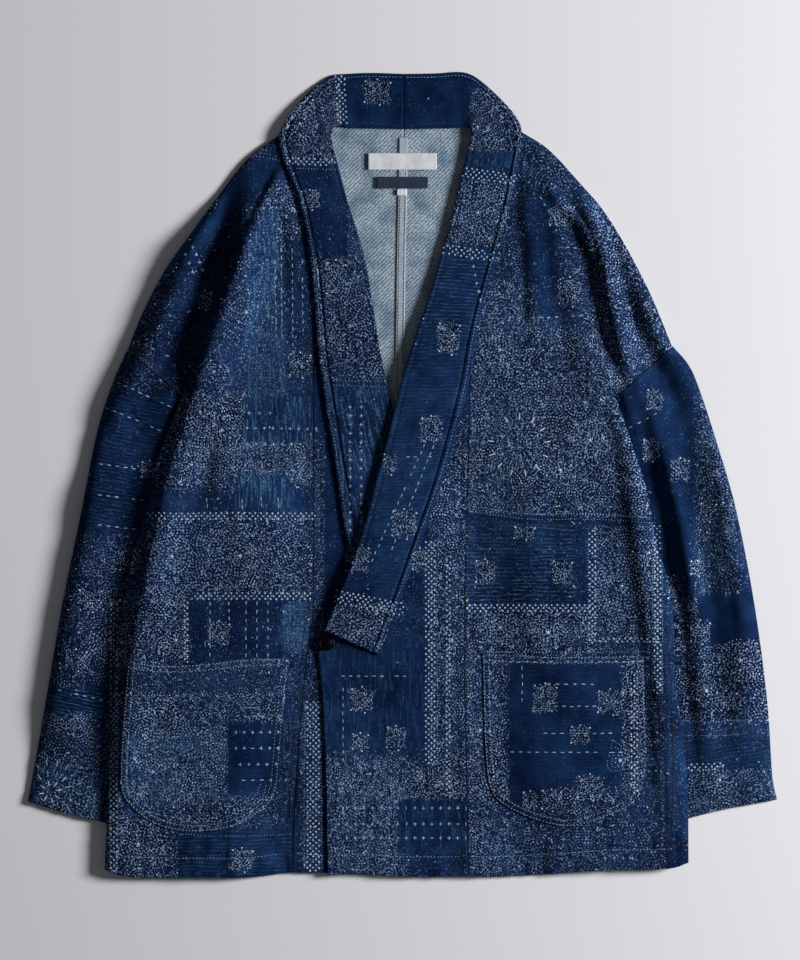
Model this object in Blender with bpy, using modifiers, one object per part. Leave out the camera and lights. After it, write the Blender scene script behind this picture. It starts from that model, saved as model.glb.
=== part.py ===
"""A patched boro jacket, laid flat with its front up, cut like a short haori coat.

The cloth lies on the XY plane: +X is to the viewer's right, +Y runs to the neck and +Z is up.
Right and left in the names are the wearer's. Plan sizes in this file are millimetres, counted
from the middle of the laid jacket, and the meshes are made in metres.
"""
import bmesh
import bpy
import numpy as np

MM = 0.001

# Walls and the room between layers
CLOTH = 1.8
BAND = 2.4
TRIM = 1.0
AIR = 0.8
INSIDE_AIR = 1.6
SEAM = 0.3
ARMHOLE_SEAM = 0.6

# Heights of the middle of each wall
BACK_LEVEL = CLOTH / 2
FRONT_LEVEL = BACK_LEVEL + CLOTH + INSIDE_AIR
SLEEVE_STACK = 2 * CLOTH + INSIDE_AIR + AIR
OVERLAP_STACK = CLOTH + AIR
COLLAR_CROWN = 0.8
BAND_STACK = BAND + AIR + COLLAR_CROWN
COLLAR_LEVEL = FRONT_LEVEL + CLOTH / 2 + AIR + BAND / 2
COLLAR_FLOOR_LEVEL = BAND / 2 + 0.4
COLLAR_TOP_LEVEL = FRONT_LEVEL + OVERLAP_STACK + BAND_STACK + CLOTH / 2 + AIR + BAND / 2
POCKET_LIFT = CLOTH + AIR

# Rounding of folded edges, and how far a layer takes to come down over another
EDGE_REACH = 9.0
EDGE_GAP = 0.9
STACK_MARGIN = 12.0
STACK_FADE = 60.0
OVERLAP_FADE = 42.0
COLLAR_CLEARANCE = 30.0
SLEEVE_CLEARANCE = 26.0

# Plan lines of the body on the wearer's right, which the viewer sees on the left
SHOULDER_RIGHT = [(-280, 126), (-264, 165), (-241, 209), (-217, 243), (-187, 284), (-158, 321), (-126, 346)]
ARMHOLE_RIGHT = [(-280, 126), (-252, 103), (-223, 78)]
SIDE_RIGHT = [(-223, 78), (-236, 48), (-252, 7), (-258, -33), (-276, -88), (-290, -166), (-295, -245),
              (-299, -316), (-303, -403)]
HEM_RIGHT = [(-303, -403), (-286, -409), (-257, -411), (-200, -411), (-157, -411), (-112, -406)]
FRONT_SEAM_RIGHT = [(-112, -406), (-111, -353), (-104, -250), (-98, -189), (-91, -130), (-91, 35), (-90, 150),
                    (-82, 225), (-86, 270), (-96, 314), (-92, 353)]

# Plan lines of the body on the wearer's left
SHOULDER_LEFT = [(275, 131), (253, 184), (228, 233), (205, 270), (184, 294), (150, 331), (121, 350)]
ARMHOLE_LEFT = [(275, 131), (245, 104), (217, 79)]
SIDE_LEFT = [(217, 79), (233, 33), (250, -20), (259, -70), (275, -128), (278, -210), (285, -256), (291, -328),
             (292, -396)]
HEM_LEFT = [(292, -396), (271, -402), (214, -403), (157, -407), (100, -410), (68, -410)]
FRONT_SEAM_LEFT = [(68, -410), (65, -282), (63, -160), (66, -38), (69, 91), (70, 190), (78, 228), (92, 290),
                   (98, 325), (94, 353)]
NECK_TOP = 351.5
BACK_SEAM = [(-5, -410), (-2, 127), (2, NECK_TOP)]

# The overlaps that run down beside the opening, each under a collar at its top
OVERLAP_EDGE_RIGHT = [(57, -410), (55, -240), (45, -185), (18, -138), (-12, -80), (-36, 0), (-52, 60),
                      (-66, 132), (-72, 186)]
OVERLAP_EDGE_LEFT = [(-76, -409), (-78, -304), (-82, -220), (-86, -178), (-80, -160), (-55, -142), (-29, -120),
                     (-10, -84), (7, -46), (19, -6), (31, 36), (50, 126)]

# Sleeves: the crease along the outer arm, the cuff, the hidden underarm edge
ARM_RIGHT = [(-280, 126), (-296, 89), (-311, 40), (-328, -46), (-345, -128), (-359, -210), (-373, -291),
             (-381, -334)]
CUFF_RIGHT = [(-190, -383), (-247, -369), (-300, -356), (-349, -344), (-381, -334)]
UNDERARM_RIGHT = [(-150, -50), (-158, -160), (-170, -270), (-190, -383)]
HIDDEN_ARMHOLE_RIGHT = [(-223, 78), (-190, 25), (-150, -50)]
ARM_LEFT = [(275, 131), (292, 111), (303, 86), (319, 37), (340, -36), (359, -134), (372, -232), (377, -305),
            (382, -332)]
CUFF_LEFT = [(190, -378), (248, -363), (300, -349), (328, -342), (382, -332)]
UNDERARM_LEFT = [(150, -50), (158, -160), (172, -270), (190, -378)]
HIDDEN_ARMHOLE_LEFT = [(217, 79), (188, 25), (150, -50)]

# Collar bands as sections from the centre back to the end: outer X, Y, height, inner X, Y, height
FLOOR = COLLAR_FLOOR_LEVEL
ON_FRONT = COLLAR_LEVEL
ON_TOP = COLLAR_TOP_LEVEL
COLLAR_RIGHT = [
    (1.5, 409, FLOOR, 1.5, 352.5, FLOOR),
    (-30, 410, FLOOR, -28, 353, FLOOR),
    (-55, 409, FLOOR, -52, 354, FLOOR + 1.0),
    (-72, 407, FLOOR, -64, 356, ON_FRONT - 1.0),
    (-89, 396, FLOOR + 0.4, -69, 354, ON_FRONT + 1.0),
    (-104, 381, FLOOR + 2.6, -71, 350, ON_FRONT + 1.5),
    (-118, 362, ON_FRONT - 0.8, -72, 345, ON_FRONT + 1.5),
    (-125, 347, ON_FRONT, -71, 338, ON_FRONT + 1.0),
    (-124, 333, ON_FRONT, -69, 330, ON_FRONT + 0.5),
    (-118, 312, ON_FRONT, -65, 315, ON_FRONT),
    (-106, 281, ON_FRONT, -57, 284, ON_FRONT),
    (-98, 246, ON_FRONT, -46, 249, ON_FRONT),
    (-93, 213, ON_FRONT, -37, 217, ON_FRONT),
    (-89, 174, ON_FRONT, -30, 176, ON_FRONT),
    (-85, 120, ON_FRONT, -21, 120, ON_FRONT),
    (-76, 56, ON_FRONT, -7, 56, ON_FRONT),
    (-68, 6, ON_FRONT, 4, 6, ON_FRONT),
    (-58, -60, ON_FRONT, 22, -60, ON_FRONT),
    (-45, -120, ON_FRONT, 39, -120, ON_FRONT),
    (-31, -169, ON_FRONT, 50, -155, ON_FRONT),
]
COLLAR_LEFT = [
    (1.9, 409, FLOOR, 1.9, 352.5, FLOOR),
    (36, 409.5, FLOOR, 33, 353, FLOOR),
    (58, 411, FLOOR, 55, 354, FLOOR + 1.0),
    (71, 408, FLOOR, 65, 355, ON_FRONT - 1.0),
    (84, 399, FLOOR + 0.4, 70, 354, ON_FRONT + 1.0),
    (101, 383, FLOOR + 2.6, 71, 351, ON_FRONT + 1.5),
    (115, 367, ON_FRONT - 0.8, 71, 346, ON_FRONT + 1.5),
    (122, 352, ON_FRONT, 70, 341, ON_FRONT + 1.0),
    (121.5, 335, ON_FRONT, 68, 333, ON_FRONT + 0.5),
    (118, 313, ON_FRONT, 64, 317, ON_FRONT),
    (112, 281, ON_FRONT, 56, 284, ON_FRONT),
    (104, 250, ON_FRONT, 48, 252, ON_FRONT),
    (94, 213, ON_FRONT, 38, 216, ON_FRONT + 0.4),
    (84, 176, ON_FRONT, 27, 179, ON_FRONT + 1.4),
    (75, 136, ON_FRONT + 0.6, 12, 136, ON_TOP - 3.0),
    (68, 93, ON_FRONT + 2.0, -1, 93, ON_TOP - 1.2),
    (57, 49, ON_TOP - 1.2, -12, 49, ON_TOP),
    (41, -7, ON_TOP, -27, -8, ON_TOP),
    (20, -66, ON_TOP, -44, -70, ON_TOP),
    (3, -115, ON_TOP, -61, -115, ON_TOP),
    (-10, -148, ON_TOP, -72, -142, ON_TOP),
    (-23, -184, ON_TOP, -79, -159, ON_TOP),
]

# Patch pockets: top edge, sides and rounded bottom
POCKET_RIGHT = {
    "top": [(-279, -189), (-246, -194), (-208, -193), (-160, -188), (-115, -187)],
    "bottom": [(-273, -342), (-253, -356), (-231, -363), (-199, -364), (-167, -357), (-141, -342)],
    "left": [(-273, -342), (-285, -325), (-287, -300), (-283, -235), (-279, -189)],
    "right": [(-141, -342), (-130, -326), (-126, -306), (-121, -245), (-115, -187)],
}
POCKET_LEFT = {
    "top": [(82, -182), (125, -184), (167, -185), (246, -184)],
    "bottom": [(98, -333), (126, -349), (164, -359), (195, -354), (232, -338)],
    "left": [(98, -333), (89, -317), (85, -290), (83, -240), (82, -182)],
    "right": [(232, -338), (245, -320), (249, -290), (248, -235), (246, -184)],
}

# Largest folds: a plan line, its reach to the left and right of its run, and its rise
FOLDS_RIGHT = [
    ([(-140, 318), (-154, 275), (-165, 212), (-181, 158), (-200, 112), (-206, 72)], 42, 27, 13.5),
    ([(-172, 298), (-206, 248), (-234, 188), (-260, 124), (-290, 62), (-306, 0)], 22, 24, 11.0),
    ([(-292, 60), (-308, -10), (-322, -80), (-340, -170), (-352, -250), (-358, -322)], 34, 24, 9.5),
    ([(-236, 20), (-238, -60), (-262, -150), (-270, -200)], 40, 24, 3.6),
    ([(-190, 60), (-165, -20), (-150, -110), (-152, -175)], 40, 36, 2.4),
    ([(-130, 150), (-122, 40), (-128, -60), (-124, -150)], 30, 26, 1.8),
    ([(-160, -200), (-158, -290), (-178, -372)], 26, 26, 1.6),
]
FOLDS_LEFT = [
    ([(139, 330), (148, 280), (162, 229), (176, 178), (188, 120), (198, 66)], 30, 22, 10.5),
    ([(176, 290), (196, 262), (214, 222), (226, 180), (236, 128), (242, 92)], 18, 22, 10.0),
    ([(232, 216), (248, 184), (260, 150), (284, 104), (302, 56)], 16, 20, 7.5),
    ([(296, 96), (310, 40), (326, -46), (342, -128), (350, -210), (352, -312)], 30, 36, 10.5),
    ([(222, 40), (232, -20), (244, -90), (256, -150), (262, -215)], 30, 40, 3.6),
    ([(130, 130), (120, 40), (126, -60), (120, -150)], 34, 30, 2.2),
    ([(190, 0), (178, -90), (184, -160)], 34, 34, 1.8),
    ([(150, -190), (190, -250), (214, -320)], 22, 26, 1.6),
]

# Small sewn-in pieces at the inside back neck, and the press stud at the end of the collar
NECK_LABEL = {"centre": (0.5, 319.5), "size": (70, 17)}
SMALL_LABEL = {"centre": (0.5, 298), "size": (52, 12)}
SIZE_TAB = {"centre": (0, 288), "size": (10, 6.4)}
TAPE_WIDTH = 9.0
STUD_CENTRE = (-77, -171.5)
STUD_RADIUS = 8.2
STUD_HEIGHT = 2.2

# Grid divisions
FRONT_ROWS = 27
BACK_ROWS = 18
SLEEVE_ROWS = 17
COLLAR_ROWS = 44
OVERLAP_RIGHT_ROWS = 26
OVERLAP_LEFT_ROWS = 34
TAPE_ROWS = 14
CURVE_STEPS = 10

INDIGO = (0.020, 0.055, 0.140, 1.0)
DEEP_INDIGO = (0.012, 0.032, 0.090, 1.0)
PALE_INSIDE = (0.200, 0.290, 0.390, 1.0)
WHITE = (0.80, 0.80, 0.78, 1.0)
NAVY = (0.010, 0.016, 0.050, 1.0)
BLACK_METAL = (0.010, 0.010, 0.012, 1.0)


def smooth_line(points):
    """A dense curve through a few plan points."""
    points = np.asarray(points, dtype=float)
    if len(points) == 2:
        return np.linspace(points[0], points[1], CURVE_STEPS + 1)
    before = 2 * points[0] - points[1]
    after = 2 * points[-1] - points[-2]
    held = np.vstack([before, points, after])
    t = np.linspace(0, 1, CURVE_STEPS, endpoint=False)[:, None]
    pieces = []
    for a, b, c, d in zip(held, held[1:], held[2:], held[3:]):
        pieces.append(0.5 * (2 * b + (c - a) * t + (2 * a - 5 * b + 4 * c - d) * t ** 2
                             + (3 * b - a - 3 * c + d) * t ** 3))
    return np.vstack(pieces + [points[-1:]])


class Path:
    """A plan line, smooth within each stretch and cornered where two stretches meet."""

    def __init__(self, *stretches):
        dense = [smooth_line(stretches[0])]
        for stretch in stretches[1:]:
            dense.append(smooth_line(stretch)[1:])
        self.points = np.vstack(dense)
        steps = np.linalg.norm(np.diff(self.points, axis=0), axis=1)
        self.run = np.concatenate([[0.0], np.cumsum(steps)])
        self.first_corner = self.run[len(dense[0]) - 1] / self.run[-1]

    def at(self, share):
        length = np.asarray(share) * self.run[-1]
        return np.stack([np.interp(length, self.run, self.points[:, axis]) for axis in (0, 1)], axis=-1)


class Panel:
    """A plan area between four lines: bottom and top run left to right, the sides run upward."""

    def __init__(self, bottom, top, left, right):
        self.bottom, self.top, self.left, self.right = bottom, top, left, right

    def at(self, u, v):
        corner_bl, corner_br = self.bottom.at(0.0), self.bottom.at(1.0)
        corner_tl, corner_tr = self.top.at(0.0), self.top.at(1.0)
        across = (1 - v)[:, None] * self.bottom.at(u) + v[:, None] * self.top.at(u)
        along = (1 - u)[:, None] * self.left.at(v) + u[:, None] * self.right.at(v)
        corners = (((1 - u) * (1 - v))[:, None] * corner_bl + (u * (1 - v))[:, None] * corner_br
                   + ((1 - u) * v)[:, None] * corner_tl + (u * v)[:, None] * corner_tr)
        return across + along - corners


def nearest(points, line):
    """Distance to a plan line, share of the way along it, and side: +1 left of its run."""
    start, run = line[:-1], np.diff(line, axis=0)
    real = np.abs(run).sum(axis=1) > 1e-6
    start, run = start[real], run[real]
    away = points[:, None, :] - start[None]
    share = np.clip((away * run).sum(axis=2) / (run * run).sum(axis=1), 0, 1)
    gap = away - share[..., None] * run[None]
    distance = np.linalg.norm(gap, axis=2)
    pick = distance.argmin(axis=1)
    row = np.arange(len(points))
    lengths = np.linalg.norm(run, axis=1)
    before = np.concatenate([[0.0], np.cumsum(lengths)])
    along = (before[pick] + share[row, pick] * lengths[pick]) / before[-1]
    cross = run[pick, 0] * away[row, pick, 1] - run[pick, 1] * away[row, pick, 0]
    return distance[row, pick], along, np.where(cross > 0, 1, -1)


def inside(points, outline):
    """Which points lie within a closed plan outline."""
    x, y = points[:, 0], points[:, 1]
    within = np.zeros(len(points), dtype=bool)
    for (ax, ay), (bx, by) in zip(outline, np.roll(outline, -1, axis=0)):
        if ay == by:
            continue
        crosses = (ay > y) != (by > y)
        within ^= crosses & (x < ax + (y - ay) * (bx - ax) / (by - ay))
    return within


def soft_step(value):
    value = np.clip(value, 0, 1)
    return value * value * (3 - 2 * value)


def presence(points, outline, margin, fade):
    """1 over an area and its margin, falling softly to 0 across the fade."""
    distance = nearest(points, np.vstack([outline, outline[:1]]))[0]
    distance[inside(points, outline)] = 0
    return 1 - soft_step((distance - margin) / fade)


def fold_rise(points, folds):
    """Soft ridges, each with its own slope on either side, fading out at both ends."""
    rise = np.zeros(len(points))
    for line, reach_left, reach_right, height in folds:
        distance, along, side = nearest(points, smooth_line(line))
        reach = np.where(side > 0, reach_left, reach_right)
        bump = np.clip(1 - (distance / reach) ** 2, 0, 1) ** 2
        ends = soft_step(along / 0.25) * soft_step((1 - along) / 0.25)
        rise += height * bump * ends
    return rise


def section_line(sections, columns):
    return np.array([[section[column] for column in columns] for section in sections], dtype=float)


def band_outline(sections):
    outer = section_line(sections, (0, 1))
    inner = section_line(sections, (3, 4))
    return np.vstack([outer, inner[::-1]])


class Side:
    """Everything that the pieces on one side of the body share."""

    def __init__(self, shoulder, armhole, side, hem, front_seam, hidden_armhole, underarm, arm, cuff, folds,
                 collar):
        self.shoulder, self.armhole, self.side, self.hem = shoulder, armhole, side, hem
        self.front_seam, self.arm, self.cuff = front_seam, arm, cuff
        self.underarm, self.hidden_armhole = underarm, hidden_armhole
        self.folds = folds
        self.collar = band_outline(collar)
        self.edge = Path(side).points
        self.shoulder_edge = Path(shoulder).points
        self.hidden_sleeve = np.vstack([Path(hidden_armhole).points, Path(underarm).points[1:],
                                        Path(side).points[::-1]])

    def over_sleeve(self, points):
        return presence(points, self.hidden_sleeve, STACK_MARGIN, STACK_FADE)

    def folds_at(self, points):
        clear = 1 - presence(points, self.collar, 0, COLLAR_CLEARANCE)
        return fold_rise(points, self.folds) * clear

    def edge_share(self, points):
        """0 on a folded edge of the body, rising like a quarter circle to 1 inside it."""
        distance = np.minimum(nearest(points, self.edge)[0], nearest(points, self.shoulder_edge)[0])
        return np.sqrt(1 - (1 - np.clip(distance / EDGE_REACH, 0, 1)) ** 2)

    def back_height(self, points):
        return BACK_LEVEL + SLEEVE_STACK * self.over_sleeve(points)

    def front_height(self, points, lift=0):
        """Middle of the front's wall, which comes down to the back along the folded edges."""
        back = self.back_height(points)
        low = back + CLOTH / 2 + EDGE_GAP
        high = back + CLOTH + INSIDE_AIR + self.folds_at(points) + lift
        return low + (high - low) * self.edge_share(points)


RIGHT = Side(SHOULDER_RIGHT, ARMHOLE_RIGHT, SIDE_RIGHT, HEM_RIGHT, FRONT_SEAM_RIGHT, HIDDEN_ARMHOLE_RIGHT,
             UNDERARM_RIGHT, ARM_RIGHT, CUFF_RIGHT, FOLDS_RIGHT, COLLAR_RIGHT)
LEFT = Side(SHOULDER_LEFT, ARMHOLE_LEFT, SIDE_LEFT, HEM_LEFT, FRONT_SEAM_LEFT, HIDDEN_ARMHOLE_LEFT,
            UNDERARM_LEFT, ARM_LEFT, CUFF_LEFT, FOLDS_LEFT, COLLAR_LEFT)


def seam_below(seam, top):
    """The run of a front's seam that lies below the top of the overlap sewn to it."""
    line = smooth_line(seam)
    return line[line[:, 1] <= top]


OVERLAP_SEAM_RIGHT = seam_below(FRONT_SEAM_RIGHT, OVERLAP_EDGE_RIGHT[-1][1])
OVERLAP_SEAM_LEFT = seam_below(FRONT_SEAM_LEFT, OVERLAP_EDGE_LEFT[-1][1])
OVERLAP_RIGHT_OUTLINE = np.vstack([OVERLAP_SEAM_RIGHT, smooth_line(OVERLAP_EDGE_RIGHT)[::-1]])


def left_lift(points):
    """Rise of the left front where it lies on the right overlap and on the right collar."""
    on_overlap = presence(points, OVERLAP_RIGHT_OUTLINE, 8, OVERLAP_FADE)
    on_collar = presence(points, RIGHT.collar, 10, OVERLAP_FADE)
    return OVERLAP_STACK * np.maximum(on_overlap, on_collar) + BAND_STACK * on_collar


def right_front_height(points):
    return RIGHT.front_height(points)


def left_front_height(points):
    return LEFT.front_height(points, left_lift(points))


def material(name, colour, roughness, metallic=0.0):
    finish = bpy.data.materials.new(name)
    finish.use_nodes = True
    shader = finish.node_tree.nodes["Principled BSDF"]
    shader.inputs["Base Color"].default_value = colour
    shader.inputs["Roughness"].default_value = roughness
    shader.inputs["Metallic"].default_value = metallic
    finish.diffuse_color = colour
    return finish


def add_object(name, mesh, finish):
    mesh.materials.append(finish)
    piece = bpy.data.objects.new(name, mesh)
    COLLECTION.objects.link(piece)
    return piece


def grid_mesh(name, columns, rows, place):
    """A grid whose squares are spread by two lists of shares and placed by a rule in millimetres."""
    build = bmesh.new()
    bmesh.ops.create_grid(build, x_segments=len(columns) - 1, y_segments=len(rows) - 1, size=1.0)
    corners = np.array([vertex.co[:2] for vertex in build.verts]) * 0.5 + 0.5
    u = np.interp(corners[:, 0] * (len(columns) - 1), np.arange(len(columns)), columns)
    v = np.interp(corners[:, 1] * (len(rows) - 1), np.arange(len(rows)), rows)
    for vertex, position in zip(build.verts, place(u, v) * MM):
        vertex.co = position
    mesh = bpy.data.meshes.new(name)
    build.to_mesh(mesh)
    build.free()
    mesh.shade_smooth()
    return mesh


def cloth(name, columns, rows, place, wall, finish):
    piece = add_object(name, grid_mesh(name, columns, rows, place), finish)
    thicken = piece.modifiers.new("Wall", "SOLIDIFY")
    thicken.thickness = wall * MM
    thicken.offset = 0.0
    return piece


def laid(panel, height):
    def place(u, v):
        points = panel.at(u, v)
        return np.column_stack([points, height(points)])
    return place


def shares(count, fine_start=(), fine_end=()):
    """Even shares from 0 to 1, with a few closer ones at either end."""
    first = fine_start[-1] if fine_start else 0.0
    last = 1 - (fine_end[-1] if fine_end else 0.0)
    even = np.linspace(first, last, count + 1)
    start = [0.0, *fine_start[:-1]] if fine_start else []
    end = [*(1 - share for share in fine_end[-2::-1]), 1.0] if fine_end else []
    return np.concatenate([start, even, end])


def with_corner(rows, corner):
    """Shares whose nearest one is moved onto a corner of the outline."""
    rows = np.array(rows)
    rows[np.abs(rows - corner).argmin()] = corner
    return rows


def offset_line(points, by):
    """A plan line moved to the left of its run by a small gap."""
    points = np.asarray(points, dtype=float)
    run = np.gradient(points, axis=0)
    normal = np.column_stack([-run[:, 1], run[:, 0]])
    return points + by * normal / np.linalg.norm(normal, axis=1)[:, None]


def make_backs():
    rows = shares(BACK_ROWS, (), (0.006, 0.02))
    seam = np.array(BACK_SEAM, dtype=float)
    neck = (-70, NECK_TOP), (70, NECK_TOP)
    right_edge = seam - (SEAM / 2, 0)
    left_edge = seam + (SEAM / 2, 0)
    right_panel = Panel(
        bottom=Path(HEM_RIGHT[:-1] + [tuple(HEM_RIGHT[-1]), tuple(right_edge[0])]),
        top=Path(SHOULDER_RIGHT, [SHOULDER_RIGHT[-1], neck[0]], [neck[0], tuple(right_edge[-1])]),
        left=Path(SIDE_RIGHT[::-1], ARMHOLE_RIGHT[::-1]),
        right=Path(right_edge))
    left_panel = Panel(
        bottom=Path([tuple(left_edge[0])] + HEM_LEFT[::-1]),
        top=Path([tuple(left_edge[-1]), neck[1]], [neck[1], SHOULDER_LEFT[-1]], SHOULDER_LEFT[::-1]),
        left=Path(left_edge),
        right=Path(SIDE_LEFT[::-1], ARMHOLE_LEFT[::-1]))
    right_rows = with_corner(rows, right_panel.left.first_corner)
    left_rows = with_corner(rows, left_panel.right.first_corner)
    cloth("back_right", shares(10), right_rows, laid(right_panel, RIGHT.back_height), CLOTH, INSIDE_FINISH)
    cloth("back_left", shares(10), left_rows, laid(left_panel, LEFT.back_height), CLOTH, INSIDE_FINISH)


def make_fronts():
    rows = shares(FRONT_ROWS, (), (0.003, 0.010, 0.022))
    side_shares = (0.008, 0.024, 0.055)
    right_panel = Panel(
        bottom=Path(HEM_RIGHT),
        top=Path(SHOULDER_RIGHT, [SHOULDER_RIGHT[-1], FRONT_SEAM_RIGHT[-1]]),
        left=Path(SIDE_RIGHT[::-1], ARMHOLE_RIGHT[::-1]),
        right=Path(FRONT_SEAM_RIGHT))
    left_panel = Panel(
        bottom=Path(HEM_LEFT[::-1]),
        top=Path([FRONT_SEAM_LEFT[-1], SHOULDER_LEFT[-1]], SHOULDER_LEFT[::-1]),
        left=Path(FRONT_SEAM_LEFT),
        right=Path(SIDE_LEFT[::-1], ARMHOLE_LEFT[::-1]))
    right_rows = with_corner(rows, right_panel.left.first_corner)
    left_rows = with_corner(rows, left_panel.right.first_corner)
    cloth("front_right", shares(12, side_shares), right_rows, laid(right_panel, right_front_height), CLOTH,
          CLOTH_FINISH)
    cloth("front_left", shares(12, (), side_shares), left_rows, laid(left_panel, left_front_height), CLOTH,
          CLOTH_FINISH)


def make_overlaps():
    """Long panels sewn to the fronts along a seam and edged above by the collars."""
    right_seam = offset_line(OVERLAP_SEAM_RIGHT, -SEAM)
    right_panel = Panel(
        bottom=Path([tuple(right_seam[0]), (-27, -408), OVERLAP_EDGE_RIGHT[0]]),
        top=Path([tuple(right_seam[-1]), OVERLAP_EDGE_RIGHT[-1]]),
        left=Path(right_seam),
        right=Path(OVERLAP_EDGE_RIGHT))
    left_seam = offset_line(OVERLAP_SEAM_LEFT, SEAM)
    left_panel = Panel(
        bottom=Path([OVERLAP_EDGE_LEFT[0], (-43, -407), (0, -410), tuple(left_seam[0])]),
        top=Path([OVERLAP_EDGE_LEFT[-1], tuple(left_seam[-1])]),
        left=Path(OVERLAP_EDGE_LEFT),
        right=Path(left_seam))
    cloth("overlap_right", shares(5), shares(OVERLAP_RIGHT_ROWS), laid(right_panel, right_front_height), CLOTH,
          CLOTH_FINISH)
    cloth("overlap_left", shares(7), shares(OVERLAP_LEFT_ROWS), laid(left_panel, left_front_height), CLOTH,
          CLOTH_FINISH)


def make_sleeve(name, side):
    """A flattened tube, open at armhole and cuff, with its underarm seam hidden below the body."""
    away = 1 if side is RIGHT else -1
    armhole = Path(side.hidden_armhole[::-1], side.armhole[::-1])
    armhole = Path(offset_line(armhole.points, away * ARMHOLE_SEAM)[::3])
    cuff = Path(side.cuff)
    plan = Panel(bottom=cuff, top=armhole, left=Path([cuff.at(0.0), *side.underarm[-2:0:-1], armhole.at(0.0)]),
                 right=Path([cuff.at(1.0), *side.arm[-2:0:-1], armhole.at(1.0)]))
    arm_line = plan.right.points
    fine = (0.005, 0.018, 0.045)
    layer = shares(8, (0.03,), fine)

    def rise(points):
        shown = 1 - presence(points, side.hidden_sleeve, 0, SLEEVE_CLEARANCE)
        return INSIDE_AIR + CLOTH + fold_rise(points, side.folds) * shown

    def place(u, v):
        lower = u < 0.5
        across = np.where(lower, u * 2, 2 - u * 2)
        points = plan.at(across, v)
        distance = nearest(points, arm_line)[0]
        round_share = np.sqrt(1 - (1 - np.clip(distance / EDGE_REACH, 0, 1)) ** 2)
        full = rise(points)
        height = BACK_LEVEL + full / 2 + np.where(lower, -0.5, 0.5) * full * round_share
        underarm = np.clip(across / layer[1], 0, 1)
        height = np.where(lower, height, height - (1 - underarm) * (full - CLOTH - SEAM))
        return np.column_stack([points, height])

    columns = np.concatenate([layer / 2, 1 - layer[-2::-1] / 2])
    cloth(name, columns, shares(SLEEVE_ROWS), place, CLOTH, CLOTH_FINISH)


def make_collar(name, sections):
    """A folded band lofted through its sections, from the centre back to its lower end."""
    outer = section_line(sections, (0, 1, 2))
    inner = section_line(sections, (3, 4, 5))
    outer_curve = smooth_line(outer)
    inner_curve = smooth_line(inner)
    steps = np.linalg.norm(np.diff((outer_curve + inner_curve) / 2, axis=0), axis=1)
    steps = np.maximum(steps, 0.35 * np.linalg.norm(np.diff(outer_curve, axis=0), axis=1))
    run = np.concatenate([[0.0], np.cumsum(steps)])
    run /= run[-1]

    def place(u, v):
        near = np.stack([np.interp(v, run, outer_curve[:, axis]) for axis in range(3)], axis=-1)
        far = np.stack([np.interp(v, run, inner_curve[:, axis]) for axis in range(3)], axis=-1)
        points = near + (far - near) * u[:, None]
        points[:, 2] += COLLAR_CROWN * 4 * u * (1 - u)
        return points

    cloth(name, shares(4, (0.03,), (0.03,)), shares(COLLAR_ROWS), place, BAND, CLOTH_FINISH)


def make_pocket(name, outline, height):
    """A patch pocket that follows the front below it."""
    plan = Panel(Path(outline["bottom"]), Path(outline["top"]), Path(outline["left"]), Path(outline["right"]))

    def place(u, v):
        points = plan.at(u, v)
        return np.column_stack([points, height(points) + POCKET_LIFT])

    cloth(name, shares(9), shares(9), place, CLOTH, CLOTH_FINISH)


def make_tape():
    """The strip that covers the centre-back seam inside."""
    seam = Path(BACK_SEAM)

    def place(u, v):
        points = seam.at(0.015 + v * 0.97)
        points[:, 0] += (u - 0.5) * TAPE_WIDTH
        return np.column_stack([points, np.full(len(points), CLOTH + SEAM + TRIM / 2)])

    cloth("back_seam_tape", shares(1), shares(TAPE_ROWS), place, TRIM, INSIDE_FINISH)


def make_label(name, label, level, finish):
    """A small woven piece lying flat."""
    bpy.ops.mesh.primitive_cube_add(size=1.0)
    piece = bpy.context.object
    piece.name = name
    piece.data.name = name
    width, depth = label["size"]
    for vertex in piece.data.vertices:
        vertex.co.x = (label["centre"][0] + vertex.co.x * width) * MM
        vertex.co.y = (label["centre"][1] + vertex.co.y * depth) * MM
        vertex.co.z = (level + (vertex.co.z + 0.5) * TRIM) * MM
    for owner in list(piece.users_collection):
        owner.objects.unlink(piece)
    COLLECTION.objects.link(piece)
    piece.data.materials.append(finish)


def make_stud():
    """A domed press stud on the corner of the left overlap, half under the collar's end."""
    centre = np.array([STUD_CENTRE], dtype=float)
    reach = STUD_RADIUS * np.array([(0, 0), (1, 0), (0, 1), (-1, 0), (0, -1), (0.7, 0.7), (0.7, -0.7)])
    level = left_front_height(centre + reach).max() + CLOTH / 2 + 0.5
    build = bmesh.new()
    bmesh.ops.create_cone(build, cap_ends=True, cap_tris=False, segments=28, radius1=STUD_RADIUS * MM,
                          radius2=STUD_RADIUS * 0.86 * MM, depth=STUD_HEIGHT * MM)
    for vertex in build.verts:
        vertex.co.x += centre[0, 0] * MM
        vertex.co.y += centre[0, 1] * MM
        vertex.co.z += (level + STUD_HEIGHT / 2) * MM
    mesh = bpy.data.meshes.new("press_stud")
    build.to_mesh(mesh)
    build.free()
    add_object("press_stud", mesh, STUD_FINISH)


for leftover in list(bpy.data.objects):
    bpy.data.objects.remove(leftover)
COLLECTION = bpy.data.collections.new("patched_boro_jacket")
bpy.context.scene.collection.children.link(COLLECTION)

CLOTH_FINISH = material("indigo_patchwork", INDIGO, 0.85)
INSIDE_FINISH = material("pale_inside", PALE_INSIDE, 0.88)
WHITE_FINISH = material("white_woven", WHITE, 0.8)
NAVY_FINISH = material("navy_woven", NAVY, 0.8)
STUD_FINISH = material("black_stud", BLACK_METAL, 0.3, 1.0)

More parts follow.
